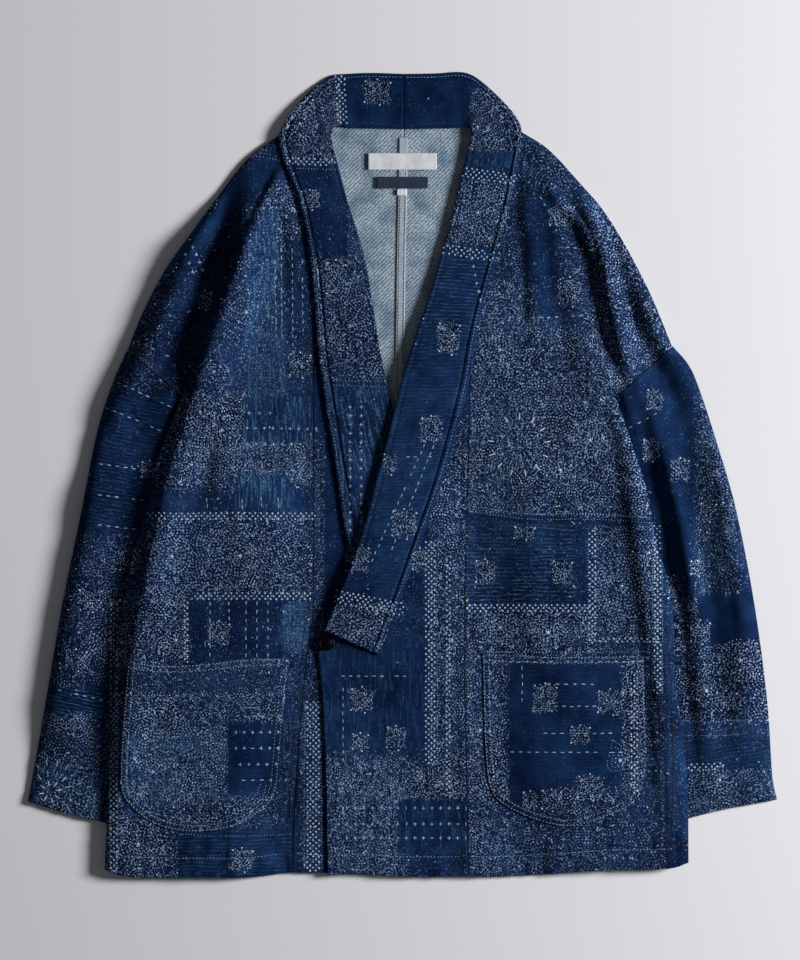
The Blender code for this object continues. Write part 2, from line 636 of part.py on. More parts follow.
make_backs()
make_fronts()
make_overlaps()
make_sleeve("sleeve_right", RIGHT)
make_sleeve("sleeve_left", LEFT)
make_collar("collar_right", COLLAR_RIGHT)
make_collar("collar_left", COLLAR_LEFT)
make_pocket("pocket_right", POCKET_RIGHT, right_front_height)
make_pocket("pocket_left", POCKET_LEFT, left_front_height)
make_tape()
make_label("neck_label", NECK_LABEL, CLOTH + 2 * SEAM + TRIM, WHITE_FINISH)
make_label("small_label", SMALL_LABEL, CLOTH + 2 * SEAM + TRIM, NAVY_FINISH)
make_label("size_tab", SIZE_TAB, CLOTH + 2 * SEAM + TRIM, WHITE_FINISH)
make_stud()
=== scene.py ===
"""The patched boro jacket as it looks, laid flat with its front up.

Each shell of cloth follows the plan lines and heights of the solid that it stands for, with finer folds,
rolled edges, hems, patches woven in, stitches and wear. Plan sizes are millimetres from the middle of the
laid jacket: +X is to the viewer's right and +Y runs to the neck. Right and left are the wearer's.
"""

import bmesh
import bpy
import numpy as np
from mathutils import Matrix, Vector
from mathutils.bvhtree import BVHTree


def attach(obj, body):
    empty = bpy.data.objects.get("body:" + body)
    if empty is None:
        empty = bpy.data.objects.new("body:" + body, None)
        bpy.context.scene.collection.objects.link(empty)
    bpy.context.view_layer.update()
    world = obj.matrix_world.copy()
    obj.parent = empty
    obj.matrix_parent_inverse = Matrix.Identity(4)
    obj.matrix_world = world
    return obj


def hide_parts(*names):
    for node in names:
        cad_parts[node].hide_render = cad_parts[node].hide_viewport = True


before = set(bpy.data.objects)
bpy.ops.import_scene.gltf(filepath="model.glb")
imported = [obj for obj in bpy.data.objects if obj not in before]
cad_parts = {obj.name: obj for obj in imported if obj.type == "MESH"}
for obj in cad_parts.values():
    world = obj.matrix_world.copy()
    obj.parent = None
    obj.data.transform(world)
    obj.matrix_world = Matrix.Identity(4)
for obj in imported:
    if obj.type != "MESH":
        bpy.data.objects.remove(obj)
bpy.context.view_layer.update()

MM = 0.001
PHOTO_MIDDLE = (402, 474.5)
MM_PER_PIXEL = 1.02

# Walls and the room between layers
CLOTH = 1.8
BAND = 2.4
TRIM = 1.0
AIR = 0.8
INSIDE_AIR = 1.6
SEAM = 0.3
ARMHOLE_SEAM = 0.6

# Heights of the middle of each wall
BACK_LEVEL = CLOTH / 2
FRONT_LEVEL = BACK_LEVEL + CLOTH + INSIDE_AIR
SLEEVE_STACK = 2 * CLOTH + INSIDE_AIR + AIR
OVERLAP_STACK = CLOTH + AIR
COLLAR_CROWN = 0.8
BAND_STACK = BAND + AIR + COLLAR_CROWN
COLLAR_LEVEL = FRONT_LEVEL + CLOTH / 2 + AIR + BAND / 2
COLLAR_FLOOR_LEVEL = BAND / 2 + 0.4
COLLAR_TOP_LEVEL = FRONT_LEVEL + OVERLAP_STACK + BAND_STACK + CLOTH / 2 + AIR + BAND / 2

# Rounding of folded edges, and how far a layer takes to come down over another
EDGE_REACH = 9.0
EDGE_GAP = 0.5
STACK_MARGIN = 12.0
STACK_FADE = 60.0
OVERLAP_FADE = 42.0
COLLAR_CLEARANCE = 18.0
SLEEVE_CLEARANCE = 26.0

# Plan lines of the body on the wearer's right, which the viewer sees on the left
SHOULDER_RIGHT = [(-280, 126), (-264, 165), (-241, 209), (-217, 243), (-187, 284), (-158, 321), (-126, 346)]
ARMHOLE_RIGHT = [(-280, 126), (-252, 103), (-223, 78)]
SIDE_RIGHT = [(-223, 78), (-236, 48), (-252, 7), (-258, -33), (-276, -88), (-290, -166), (-295, -245),
              (-299, -316), (-303, -403)]
HEM_RIGHT = [(-303, -403), (-286, -409), (-257, -411), (-200, -411), (-157, -411), (-112, -406)]
FRONT_SEAM_RIGHT = [(-112, -406), (-111, -353), (-104, -250), (-98, -189), (-91, -130), (-91, 35), (-90, 150),
                    (-82, 225), (-86, 270), (-96, 314), (-92, 353)]

# Plan lines of the body on the wearer's left
SHOULDER_LEFT = [(275, 131), (253, 184), (228, 233), (205, 270), (184, 294), (150, 331), (121, 350)]
ARMHOLE_LEFT = [(275, 131), (245, 104), (217, 79)]
SIDE_LEFT = [(217, 79), (233, 33), (250, -20), (259, -70), (275, -128), (278, -210), (285, -256), (291, -328),
             (292, -396)]
HEM_LEFT = [(292, -396), (271, -402), (214, -403), (157, -407), (100, -410), (68, -410)]
FRONT_SEAM_LEFT = [(68, -410), (65, -282), (63, -160), (66, -38), (69, 91), (70, 190), (78, 228), (92, 290),
                   (98, 325), (94, 353)]
SIDE_WELT = [(269, -402), (270, -300), (268, -210), (261, -140), (250, -78)]
OPENING_HEM = [(-112, -406), (-76, -409), (-43, -407), (0, -410), (68, -410)]
NECK_TOP = 355.0
BACK_SEAM = [(-5, -410), (-2, 127), (2, NECK_TOP)]

# The overlaps that run down beside the opening, each under a collar at its top
OVERLAP_EDGE_RIGHT = [(57, -410), (55, -240), (45, -185), (18, -138), (-12, -80), (-36, 0), (-52, 60),
                      (-66, 132), (-72, 186)]
OVERLAP_EDGE_LEFT = [(-76, -409), (-78, -304), (-82, -220), (-86, -178), (-80, -160), (-55, -142),
                     (-29, -120), (-10, -84), (7, -46), (19, -6), (31, 36), (50, 126)]

# Sleeves: the crease along the outer arm, the cuff, the hidden underarm edge
ARM_RIGHT = [(-280, 126), (-296, 89), (-311, 40), (-328, -46), (-345, -128), (-359, -210), (-373, -291),
             (-381, -334)]
CUFF_RIGHT = [(-190, -383), (-247, -369), (-300, -356), (-349, -344), (-381, -334)]
UNDERARM_RIGHT = [(-150, -50), (-158, -160), (-170, -270), (-190, -383)]
HIDDEN_ARMHOLE_RIGHT = [(-223, 78), (-190, 25), (-150, -50)]
ARM_LEFT = [(275, 131), (292, 111), (303, 86), (319, 37), (340, -36), (359, -134), (372, -232), (377, -305),
            (382, -332)]
CUFF_LEFT = [(190, -378), (248, -363), (300, -349), (328, -342), (382, -332)]
UNDERARM_LEFT = [(150, -50), (158, -160), (172, -270), (190, -378)]
HIDDEN_ARMHOLE_LEFT = [(217, 79), (188, 25), (150, -50)]

# Collar bands as sections from the centre back to the end: outer X, Y, height, inner X, Y, height
FLOOR = COLLAR_FLOOR_LEVEL
ON_FRONT = COLLAR_LEVEL
ON_TOP = COLLAR_TOP_LEVEL
COLLAR_RIGHT = [
    (1.5, 409, FLOOR, 1.5, 352.5, FLOOR + 2.6),
    (-30, 410, FLOOR, -28, 353, FLOOR + 2.6),
    (-55, 409, FLOOR, -52, 353.5, FLOOR + 3.2),
    (-72, 407, FLOOR, -64, 356, ON_FRONT - 1.0),
    (-89, 396, FLOOR + 0.4, -69, 354, ON_FRONT + 1.0),
    (-104, 381, FLOOR + 2.6, -71, 350, ON_FRONT + 1.5),
    (-118, 362, ON_FRONT - 0.8, -72, 345, ON_FRONT + 1.5),
    (-125, 347, ON_FRONT, -71, 338, ON_FRONT + 1.0),
    (-124, 333, ON_FRONT, -69, 330, ON_FRONT + 0.5),
    (-118, 312, ON_FRONT, -65, 315, ON_FRONT),
    (-106, 281, ON_FRONT, -57, 284, ON_FRONT),
    (-98, 246, ON_FRONT, -46, 249, ON_FRONT),
    (-93, 213, ON_FRONT, -37, 217, ON_FRONT),
    (-89, 174, ON_FRONT, -30, 176, ON_FRONT),
    (-85, 120, ON_FRONT, -21, 120, ON_FRONT),
    (-76, 56, ON_FRONT, -7, 56, ON_FRONT),
    (-68, 6, ON_FRONT, 4, 6, ON_FRONT),
    (-58, -60, ON_FRONT, 22, -60, ON_FRONT),
    (-45, -120, ON_FRONT, 39, -120, ON_FRONT),
    (-31, -169, ON_FRONT, 50, -155, ON_FRONT),
]
COLLAR_LEFT = [
    (1.9, 409, FLOOR, 1.9, 352.5, FLOOR + 2.6),
    (36, 409.5, FLOOR, 33, 353, FLOOR + 2.6),
    (58, 411, FLOOR, 55, 353.5, FLOOR + 3.2),
    (71, 408, FLOOR, 65, 355, ON_FRONT - 1.0),
    (84, 399, FLOOR + 0.4, 70, 354, ON_FRONT + 1.0),
    (101, 383, FLOOR + 2.6, 71, 351, ON_FRONT + 1.5),
    (115, 367, ON_FRONT - 0.8, 71, 346, ON_FRONT + 1.5),
    (122, 352, ON_FRONT, 70, 341, ON_FRONT + 1.0),
    (121.5, 335, ON_FRONT, 68, 333, ON_FRONT + 0.5),
    (118, 313, ON_FRONT, 64, 317, ON_FRONT),
    (112, 281, ON_FRONT, 56, 284, ON_FRONT),
    (104, 250, ON_FRONT, 48, 252, ON_FRONT),
    (94, 213, ON_FRONT, 38, 216, ON_FRONT + 0.4),
    (84, 176, ON_FRONT, 27, 179, ON_FRONT + 1.4),
    (75, 136, ON_FRONT + 0.6, 12, 136, ON_TOP - 3.0),
    (68, 93, ON_FRONT + 2.0, -1, 93, ON_TOP - 1.2),
    (57, 49, ON_TOP - 1.2, -12, 49, ON_TOP),
    (41, -7, ON_TOP, -27, -8, ON_TOP),
    (20, -66, ON_TOP, -44, -70, ON_TOP),
    (3, -115, ON_TOP, -61, -115, ON_TOP),
    (-10, -148, ON_TOP, -72, -142, ON_TOP),
    (-23, -184, ON_TOP, -79, -159, ON_TOP),
]

# Patch pockets: top edge, sides and rounded bottom
POCKET_RIGHT = {
    "top": [(-279, -189), (-246, -194), (-208, -193), (-160, -188), (-115, -187)],
    "bottom": [(-273, -342), (-253, -356), (-231, -363), (-199, -364), (-167, -357), (-141, -342)],
    "left": [(-273, -342), (-285, -325), (-287, -300), (-283, -235), (-279, -189)],
    "right": [(-141, -342), (-130, -326), (-126, -306), (-121, -245), (-115, -187)],
}
POCKET_LEFT = {
    "top": [(82, -182), (125, -184), (167, -185), (246, -184)],
    "bottom": [(98, -333), (126, -349), (164, -359), (195, -354), (232, -338)],
    "left": [(98, -333), (89, -317), (85, -290), (83, -240), (82, -182)],
    "right": [(232, -338), (245, -320), (249, -290), (248, -235), (246, -184)],
}

# Largest folds: a plan line, its reach to the left and right of its run, and its rise
FOLDS_RIGHT = [
    ([(-140, 318), (-154, 275), (-165, 212), (-181, 158), (-200, 112), (-206, 72)], 42, 27, 13.5),
    ([(-172, 298), (-206, 248), (-234, 188), (-260, 124), (-290, 62), (-306, 0)], 22, 24, 11.0),
    ([(-292, 60), (-308, -10), (-322, -80), (-340, -170), (-352, -250), (-358, -322)], 34, 24, 9.5),
    ([(-236, 20), (-238, -60), (-262, -150), (-270, -200)], 40, 24, 3.6),
    ([(-190, 60), (-165, -20), (-150, -110), (-152, -175)], 40, 36, 2.4),
    ([(-130, 150), (-122, 40), (-128, -60), (-124, -150)], 30, 26, 1.8),
    ([(-160, -200), (-158, -290), (-178, -372)], 26, 26, 1.6),
]
FOLDS_LEFT = [
    ([(139, 330), (148, 280), (162, 229), (176, 178), (188, 120), (198, 66)], 30, 22, 10.5),
    ([(170, 290), (188, 262), (204, 222), (214, 180), (227, 128), (237, 92)], 17, 17, 9.0),
    ([(232, 216), (248, 184), (260, 150), (284, 104), (302, 56)], 16, 20, 7.5),
    ([(296, 96), (310, 40), (326, -46), (342, -128), (350, -210), (352, -312)], 30, 36, 10.5),
    ([(222, 40), (232, -20), (244, -90), (256, -150), (262, -215)], 30, 40, 3.6),
    ([(130, 130), (120, 40), (126, -60), (120, -150)], 34, 30, 2.2),
    ([(190, 0), (178, -90), (184, -160)], 34, 34, 1.8),
    ([(150, -190), (190, -250), (214, -320)], 22, 26, 1.6),
]

# Small sewn-in pieces at the inside back neck, and the press stud at the end of the collar
NECK_LABEL = {"centre": (0.5, 319.5), "size": (70, 17)}
SMALL_LABEL = {"centre": (0.5, 298), "size": (52, 12)}
SIZE_TAB = {"centre": (0, 288), "size": (10, 6.4)}
TAPE_WIDTH = 9.0
STUD_CENTRE = (-77, -171.5)
STUD_RADIUS = 8.2

CURVE_STEPS = 10
FINE = 2.3
HEM_DEPTH = 22
CUFF_DEPTH = 12
COLLAR_WIDTH = 62.0
COLLAR_GROOVE = 8.0
POCKET_GROOVE = 8.4
COARSE = 6.0


def smooth_line(points):
    """A dense curve through a few plan points."""
    points = np.asarray(points, dtype=float)
    if len(points) == 2:
        return np.linspace(points[0], points[1], CURVE_STEPS + 1)
    before = 2 * points[0] - points[1]
    after = 2 * points[-1] - points[-2]
    held = np.vstack([before, points, after])
    t = np.linspace(0, 1, CURVE_STEPS, endpoint=False)[:, None]
    pieces = []
    for a, b, c, d in zip(held, held[1:], held[2:], held[3:]):
        pieces.append(0.5 * (2 * b + (c - a) * t + (2 * a - 5 * b + 4 * c - d) * t ** 2
                             + (3 * b - a - 3 * c + d) * t ** 3))
    return np.vstack(pieces + [points[-1:]])


class Path:
    """A plan line, smooth within each stretch and cornered where two stretches meet."""

    def __init__(self, *stretches):
        dense = [smooth_line(stretches[0])]
        for stretch in stretches[1:]:
            dense.append(smooth_line(stretch)[1:])
        self.points = np.vstack(dense)
        steps = np.linalg.norm(np.diff(self.points, axis=0), axis=1)
        self.run = np.concatenate([[0.0], np.cumsum(steps)])
        self.length = self.run[-1]
        self.first_corner = self.run[len(dense[0]) - 1] / self.run[-1]

    def at(self, share):
        length = np.asarray(share) * self.run[-1]
        return np.stack([np.interp(length, self.run, self.points[:, axis]) for axis in (0, 1)], axis=-1)


class Panel:
    """A plan area between four lines: bottom and top run left to right, the sides run upward."""

    def __init__(self, bottom, top, left, right):
        self.bottom, self.top, self.left, self.right = bottom, top, left, right

    def at(self, u, v):
        corner_bl, corner_br = self.bottom.at(0.0), self.bottom.at(1.0)
        corner_tl, corner_tr = self.top.at(0.0), self.top.at(1.0)
        across = (1 - v)[:, None] * self.bottom.at(u) + v[:, None] * self.top.at(u)
        along = (1 - u)[:, None] * self.left.at(v) + u[:, None] * self.right.at(v)
        corners = (((1 - u) * (1 - v))[:, None] * corner_bl + (u * (1 - v))[:, None] * corner_br
                   + ((1 - u) * v)[:, None] * corner_tl + (u * v)[:, None] * corner_tr)
        return across + along - corners


def nearest(points, line):
    """Distance to a plan line, share of the way along it, and side: +1 left of its run."""
    start, run = line[:-1], np.diff(line, axis=0)
    real = np.abs(run).sum(axis=1) > 1e-6
    start, run = start[real], run[real]
    lengths = np.linalg.norm(run, axis=1)
    before = np.concatenate([[0.0], np.cumsum(lengths)])
    found = []
    for part in np.array_split(points, len(points) // 6000 + 1):
        away = part[:, None, :] - start[None]
        share = np.clip((away * run).sum(axis=2) / (run * run).sum(axis=1), 0, 1)
        gap = away - share[..., None] * run[None]
        distance = np.hypot(gap[..., 0], gap[..., 1])
        pick = distance.argmin(axis=1)
        row = np.arange(len(part))
        along = (before[pick] + share[row, pick] * lengths[pick]) / before[-1]
        cross = run[pick, 0] * away[row, pick, 1] - run[pick, 1] * away[row, pick, 0]
        found.append((distance[row, pick], along, np.where(cross > 0, 1, -1)))
    return tuple(np.concatenate(column) for column in zip(*found))


def inside(points, outline):
    """Which points lie within a closed plan outline."""
    x, y = points[:, 0], points[:, 1]
    within = np.zeros(len(points), dtype=bool)
    for (ax, ay), (bx, by) in zip(outline, np.roll(outline, -1, axis=0)):
        if ay == by:
            continue
        crosses = (ay > y) != (by > y)
        within ^= crosses & (x < ax + (y - ay) * (bx - ax) / (by - ay))
    return within


def soft_step(value):
    value = np.clip(value, 0, 1)
    return value * value * (3 - 2 * value)


def presence(points, outline, margin, fade):
    """1 over an area and its margin, falling softly to 0 across the fade."""
    distance = nearest(points, np.vstack([outline, outline[:1]]))[0]
    distance[inside(points, outline)] = 0
    return 1 - soft_step((distance - margin) / fade)


def fold_rise(points, folds):
    """Soft ridges, each with its own slope on either side, fading out at both ends."""
    rise = np.zeros(len(points))
    for line, reach_left, reach_right, height in folds:
        distance, along, side = nearest(points, smooth_line(line))
        reach = np.where(side > 0, reach_left, reach_right)
        bump = np.clip(1 - (distance / reach) ** 2, 0, 1) ** 2
        ends = soft_step(along / 0.25) * soft_step((1 - along) / 0.25)
        rise += height * bump * ends
    return rise


def section_line(sections, columns):
    return np.array([[section[column] for column in columns] for section in sections], dtype=float)


def band_outline(sections):
    outer = section_line(sections, (0, 1))
    inner = section_line(sections, (3, 4))
    return np.vstack([outer, inner[::-1]])


# Smaller folds and raised edges, in the same terms, that only the shown cloth has
CREASES_RIGHT = [
    ([(-136, 284), (-160, 226), (-185, 166), (-203, 104), (-219, 52), (-238, -10), (-252, -70), (-269, -150),
      (-280, -240), (-286, -330), (-289, -420)], 34, 13, 7.6),
    ([(-104, 336), (-118, 314), (-136, 282), (-160, 230), (-182, 176)], 16, 10, 6.0),
    ([(-186, 262), (-214, 214), (-236, 160), (-252, 110)], 20, 16, 3.0),
    ([(-120, 300), (-112, 240), (-108, 180)], 14, 12, 1.6),
    ([(-176, 40), (-196, -40), (-226, -110)], 22, 16, 2.0),
    ([(-240, -120), (-252, -180), (-262, -260)], 14, 12, 1.4),
    ([(-306, 60), (-318, -6), (-330, -60)], 16, 12, 2.0),
    ([(-322, -150), (-334, -220), (-338, -300)], 18, 14, 2.2),
]
CREASES_LEFT = [
    ([(139, 330), (148, 280), (162, 229), (176, 178), (188, 120), (198, 66)], 30, 22, -6.5),
    ([(112, 330), (124, 290), (132, 240), (136, 180), (138, 120)], 18, 13, 4.0),
    ([(140, 306), (157, 283), (175, 262), (186, 246), (192, 226), (194, 206)], 7, 9, 4.0),
    ([(160, 320), (193, 266), (209, 214), (217, 152), (233, 104), (250, 54)], 12, 12, 3.8),
    ([(262, 34), (272, -10), (282, -50), (290, -100), (296, -150)], 20, 13, 7.0),
    ([(236, 128), (252, 80), (270, 20), (286, -40), (294, -110), (302, -190), (308, -270), (312, -360)], 26,
     15, 6.0),
    ([(206, 120), (222, 60), (234, 0), (242, -60), (254, -150), (266, -260), (272, -420)], 22, 16, 5.0),
    ([(318, 40), (332, -40), (346, -120), (352, -200)], 14, 12, 3.6),
    ([(100, 60), (92, -20), (98, -100)], 20, 16, 1.4),
]
FOLD_GAIN = 1.07
SLEEVE_GAIN = 0.95


def noise(points, across, along, turn, seed):
    """Smooth seeded noise of about -1 to 1, with its own wavelength along each of two turned axes."""
    slopes = np.random.default_rng(seed).normal(size=(64, 64, 2))
    slopes /= np.linalg.norm(slopes, axis=2, keepdims=True)
    cosine, sine = np.cos(np.radians(turn)), np.sin(np.radians(turn))
    x = (points[:, 0] * cosine + points[:, 1] * sine) / across + 500
    y = (points[:, 1] * cosine - points[:, 0] * sine) / along + 500
    column, row = np.floor(x).astype(int), np.floor(y).astype(int)
    x, y = x - column, y - row

    def corner(step_x, step_y):
        slope = slopes[(column + step_x) % 64, (row + step_y) % 64]
        return slope[:, 0] * (x - step_x) + slope[:, 1] * (y - step_y)

    ease_x, ease_y = x ** 3 * (x * (x * 6 - 15) + 10), y ** 3 * (y * (y * 6 - 15) + 10)
    low = corner(0, 0) + ease_x * (corner(1, 0) - corner(0, 0))
    high = corner(0, 1) + ease_x * (corner(1, 1) - corner(0, 1))
    return 1.5 * (low + ease_y * (high - low))


def ridged(points, across, along, turn, seed):
    """Narrow soft creases of 0 to 1 between wide calm areas."""
    return np.clip(1 - 3.2 * np.abs(noise(points, across, along, turn, seed)), 0, 1) ** 2


# Stitched lines that draw the cloth in: a plan line, how far its puckers reach, their depth, and how far
# from the line a stitched groove runs and how deep it is
PUCKERS = [
    (SIDE_RIGHT, 22, 0.5, 0, 0),
    (SIDE_LEFT[4:], 26, 0.7, 12, 1.0),
    (SIDE_LEFT[4:], 26, 0.3, 23, 1.0),
    (HEM_RIGHT, 44, 1.9, HEM_DEPTH, 1.0),
    (HEM_LEFT, 44, 1.9, HEM_DEPTH, 1.0),
    (OPENING_HEM, 44, 1.5, HEM_DEPTH, 1.0),
    (FRONT_SEAM_RIGHT, 14, 0.35, 7, 0.5),
    (FRONT_SEAM_LEFT, 14, 0.45, 7, 0.6),
    ([(67, -37), (131, -45), (192, -45), (262, -49)], 12, 0.2, 5.2, 0.9),
    (ARMHOLE_RIGHT, 20, 0.5, 5, 0.6),
    (ARMHOLE_LEFT, 20, 0.5, 5, 0.6),
    (CUFF_RIGHT, 36, 1.4, CUFF_DEPTH, 0.7),
    (CUFF_LEFT, 36, 1.4, CUFF_DEPTH, 0.7),
    (POCKET_RIGHT["left"], 18, 0.5, 0, 0),
    (POCKET_RIGHT["right"], 18, 0.5, 0, 0),
    (POCKET_RIGHT["bottom"], 18, 0.5, 0, 0),
    (POCKET_LEFT["left"], 18, 0.5, 0, 0),
    (POCKET_LEFT["right"], 18, 0.5, 0, 0),
    (POCKET_LEFT["bottom"], 18, 0.5, 0, 0),
]


def relief(points):
    """Small creases, drag lines and puckers of worn cotton, the same for every layer at a place."""
    rise = 0.75 * noise(points, 95, 150, 12, 3) + 0.35 * noise(points, 34, 60, -14, 5)
    rise += 0.12 * noise(points, 13, 13, 0, 7)
    rise += 0.55 * ridged(points, 60, 150, -12, 11) + 0.5 * ridged(points, 70, 120, 62, 17)
    for number, (line, reach, depth, groove, sink) in enumerate(PUCKERS):
        distance, along, _ = nearest(points, smooth_line(line))
        length = Path(line).length
        ripple = noise(np.column_stack([along * length, distance * 0.5]), 11, 26, 8, 40 + number)
        rise += depth * ripple * np.clip(1 - distance / reach, 0, 1)
        if sink:
            rise -= sink * np.exp(-((distance - groove) / 2.0) ** 2)
    return np.maximum(rise, -1.1)


class Side:
    """Everything that the pieces on one side of the body share."""

    def __init__(self, shoulder, armhole, side, hidden_armhole, underarm, arm, cuff, folds, collar):
        self.armhole, self.hidden_armhole = armhole, hidden_armhole
        self.underarm, self.arm, self.cuff = underarm, arm, cuff
        self.folds = folds
        self.creases = CREASES_RIGHT if folds is FOLDS_RIGHT else CREASES_LEFT
        self.collar = band_outline(collar)
        self.edge = Path(side).points
        self.shoulder_edge = Path(shoulder).points
        self.hidden_sleeve = np.vstack([Path(hidden_armhole).points, Path(underarm).points[1:],
                                        Path(side).points[::-1]])

    def over_sleeve(self, points):
        return presence(points, self.hidden_sleeve, STACK_MARGIN, STACK_FADE)

    def folds_at(self, points):
        clear = 1 - presence(points, self.collar, 0, COLLAR_CLEARANCE)
        return (FOLD_GAIN * fold_rise(points, self.folds) + fold_rise(points, self.creases)) * clear

    def edge_share(self, points):
        """0 on a folded edge of the body, rising like a quarter circle to 1 inside it."""
        distance = np.minimum(nearest(points, self.edge)[0], nearest(points, self.shoulder_edge)[0])
        return np.sqrt(1 - (1 - np.clip(distance / EDGE_REACH, 0, 1)) ** 2)

    def back_height(self, points):
        return BACK_LEVEL + SLEEVE_STACK * self.over_sleeve(points)

    def front_height(self, points, lift=0):
        """Middle of the front's wall, which comes down to the back along the folded edges."""
        back = self.back_height(points)
        low = back + CLOTH / 2 + EDGE_GAP
        small = relief(points) * collars_clear(points)
        high = back + CLOTH + INSIDE_AIR + self.folds_at(points) + lift + small
        return low + (high - low) * self.edge_share(points)


RIGHT = Side(SHOULDER_RIGHT, ARMHOLE_RIGHT, SIDE_RIGHT, HIDDEN_ARMHOLE_RIGHT, UNDERARM_RIGHT, ARM_RIGHT,
             CUFF_RIGHT, FOLDS_RIGHT, COLLAR_RIGHT)
LEFT = Side(SHOULDER_LEFT, ARMHOLE_LEFT, SIDE_LEFT, HIDDEN_ARMHOLE_LEFT, UNDERARM_LEFT, ARM_LEFT,
            CUFF_LEFT, FOLDS_LEFT, COLLAR_LEFT)


def collars_clear(points):
    """0 under either collar, rising to 1 beyond it."""
    return ((1 - presence(points, RIGHT.collar, 2, COLLAR_CLEARANCE))
            * (1 - presence(points, LEFT.collar, 2, COLLAR_CLEARANCE)))


def seam_below(seam, top):
    """The run of a front's seam that lies below the top of the overlap sewn to it."""
    line = smooth_line(seam)
    return line[line[:, 1] <= top]


OVERLAP_SEAM_RIGHT = seam_below(FRONT_SEAM_RIGHT, OVERLAP_EDGE_RIGHT[-1][1])
OVERLAP_SEAM_LEFT = seam_below(FRONT_SEAM_LEFT, OVERLAP_EDGE_LEFT[-1][1])
OVERLAP_RIGHT_OUTLINE = np.vstack([OVERLAP_SEAM_RIGHT, smooth_line(OVERLAP_EDGE_RIGHT)[::-1]])


def left_lift(points):
    """Rise of the left front where it lies on the right overlap and on the right collar."""
    on_overlap = presence(points, OVERLAP_RIGHT_OUTLINE, 8, OVERLAP_FADE)
    on_collar = presence(points, RIGHT.collar, 10, OVERLAP_FADE)
    return OVERLAP_STACK * np.maximum(on_overlap, on_collar) + BAND_STACK * on_collar


def right_front_height(points):
    return RIGHT.front_height(points)


def left_front_height(points):
    return LEFT.front_height(points, left_lift(points))


def spaced(length, step, edges=(0.0, 0.4, 1.0, 2.0, 3.6)):
    """Shares of a length in mm: even steps, with a few closer ones at both ends."""
    inner = np.linspace(edges[-1], length - edges[-1], max(3, round((length - 2 * edges[-1]) / step) + 1))
    close = np.array(edges[:-1])
    return np.concatenate([close, inner, length - close[::-1]]) / length


def with_corner(rows, corner):
    """Shares whose nearest one is moved onto a corner of the outline."""
    rows = np.array(rows)
    rows[np.abs(rows - corner).argmin()] = corner
    return rows


def offset_line(points, by):
    """A plan line moved to the left of its run by a small gap."""
    points = np.asarray(points, dtype=float)
    run = np.gradient(points, axis=0)
    normal = np.column_stack([-run[:, 1], run[:, 0]])
    return points + by * normal / np.linalg.norm(normal, axis=1)[:, None]


def to_plan(pixels):
    """Plan millimetres of points in the photograph."""
    pixels = np.asarray(pixels, dtype=float)
    return (pixels - PHOTO_MIDDLE) * (MM_PER_PIXEL, -MM_PER_PIXEL)


def edge_distance(grid):
    """Distance of each point of a grid from its nearest edge, in mm, along the grid's own lines."""
    def from_ends(axis):
        steps = np.linalg.norm(np.diff(grid, axis=axis), axis=2)
        start = np.zeros(grid.shape[:2])
        run = np.cumsum(steps, axis=axis)
        if axis:
            start[:, 1:] = run
        else:
            start[1:] = run
        return np.minimum(start, start.max(axis=axis, keepdims=True) - start)
    return np.minimum(from_ends(0), from_ends(1))


def shell(name, columns, rows, place, wall, finishes, layout, chart=None, ease=1.3):
    """A closed wall of cloth over a middle surface, its edges rounded and its pattern laid out."""
    u, v = (grid.ravel() for grid in np.meshgrid(columns, rows))
    middle = place(u, v)
    chart_points = middle[:, :2] if chart is None else chart(u, v, middle)
    shape = (len(rows), len(columns))
    grid = middle.reshape(*shape, 3)
    normal = np.cross(np.gradient(grid, axis=1), np.gradient(grid, axis=0)).reshape(-1, 3)
    normal /= np.maximum(np.linalg.norm(normal, axis=1, keepdims=True), 1e-9)
    flipped = normal[middle[:, 2].argmax(), 2] < 0
    if flipped:
        normal = -normal
    share = np.clip(edge_distance(grid).ravel() / ease, 0, 1)
    half = wall / 2 * (0.4 + 0.6 * np.sqrt(1 - (1 - share) ** 2))
    points = np.vstack([middle + normal * half[:, None], middle - normal * half[:, None]])

    count = len(middle)
    index = np.arange(count).reshape(shape)
    quads = np.stack([index[:-1, :-1], index[:-1, 1:], index[1:, 1:], index[1:, :-1]], axis=-1).reshape(-1, 4)
    rim = np.concatenate([index[0, :-1], index[:-1, -1], index[-1, :0:-1], index[:0:-1, 0]])
    around = np.roll(rim, -1)
    walls = np.stack([rim, rim + count, around + count, around], axis=-1)
    upper, lower = quads, quads[:, ::-1] + count
    if flipped:
        upper, lower, walls = upper[:, ::-1], lower[:, ::-1], walls[:, ::-1]
    faces = np.concatenate([upper, lower, walls])
    mesh = bpy.data.meshes.new(name)
    mesh.from_pydata((points * MM).tolist(), [], faces.tolist())
    slots = np.concatenate([np.zeros(len(upper)), np.ones(len(lower)), np.zeros(len(walls))]).astype(np.int32)
    mesh.polygons.foreach_set("material_index", slots)
    mesh.shade_smooth()
    for finish in finishes:
        mesh.materials.append(finish)

    chart_full = np.column_stack([np.vstack([chart_points] * 2), np.zeros(2 * count)])
    held = mesh.attributes.new("chart", "FLOAT_VECTOR", "POINT")
    held.data.foreach_set("vector", chart_full.astype(np.float32).ravel())
    weights = pattern_weights(middle[:, :2], layout)
    for kind, weight in weights.items():
        held = mesh.attributes.new(kind, "FLOAT", "POINT")
        held.data.foreach_set("value", np.tile(weight, 2).astype(np.float32))
    mesh.update()
    piece = bpy.data.objects.new(name, mesh)
    bpy.context.scene.collection.objects.link(piece)
    return piece


KINDS = ("speckle", "stripe", "streak", "fade")


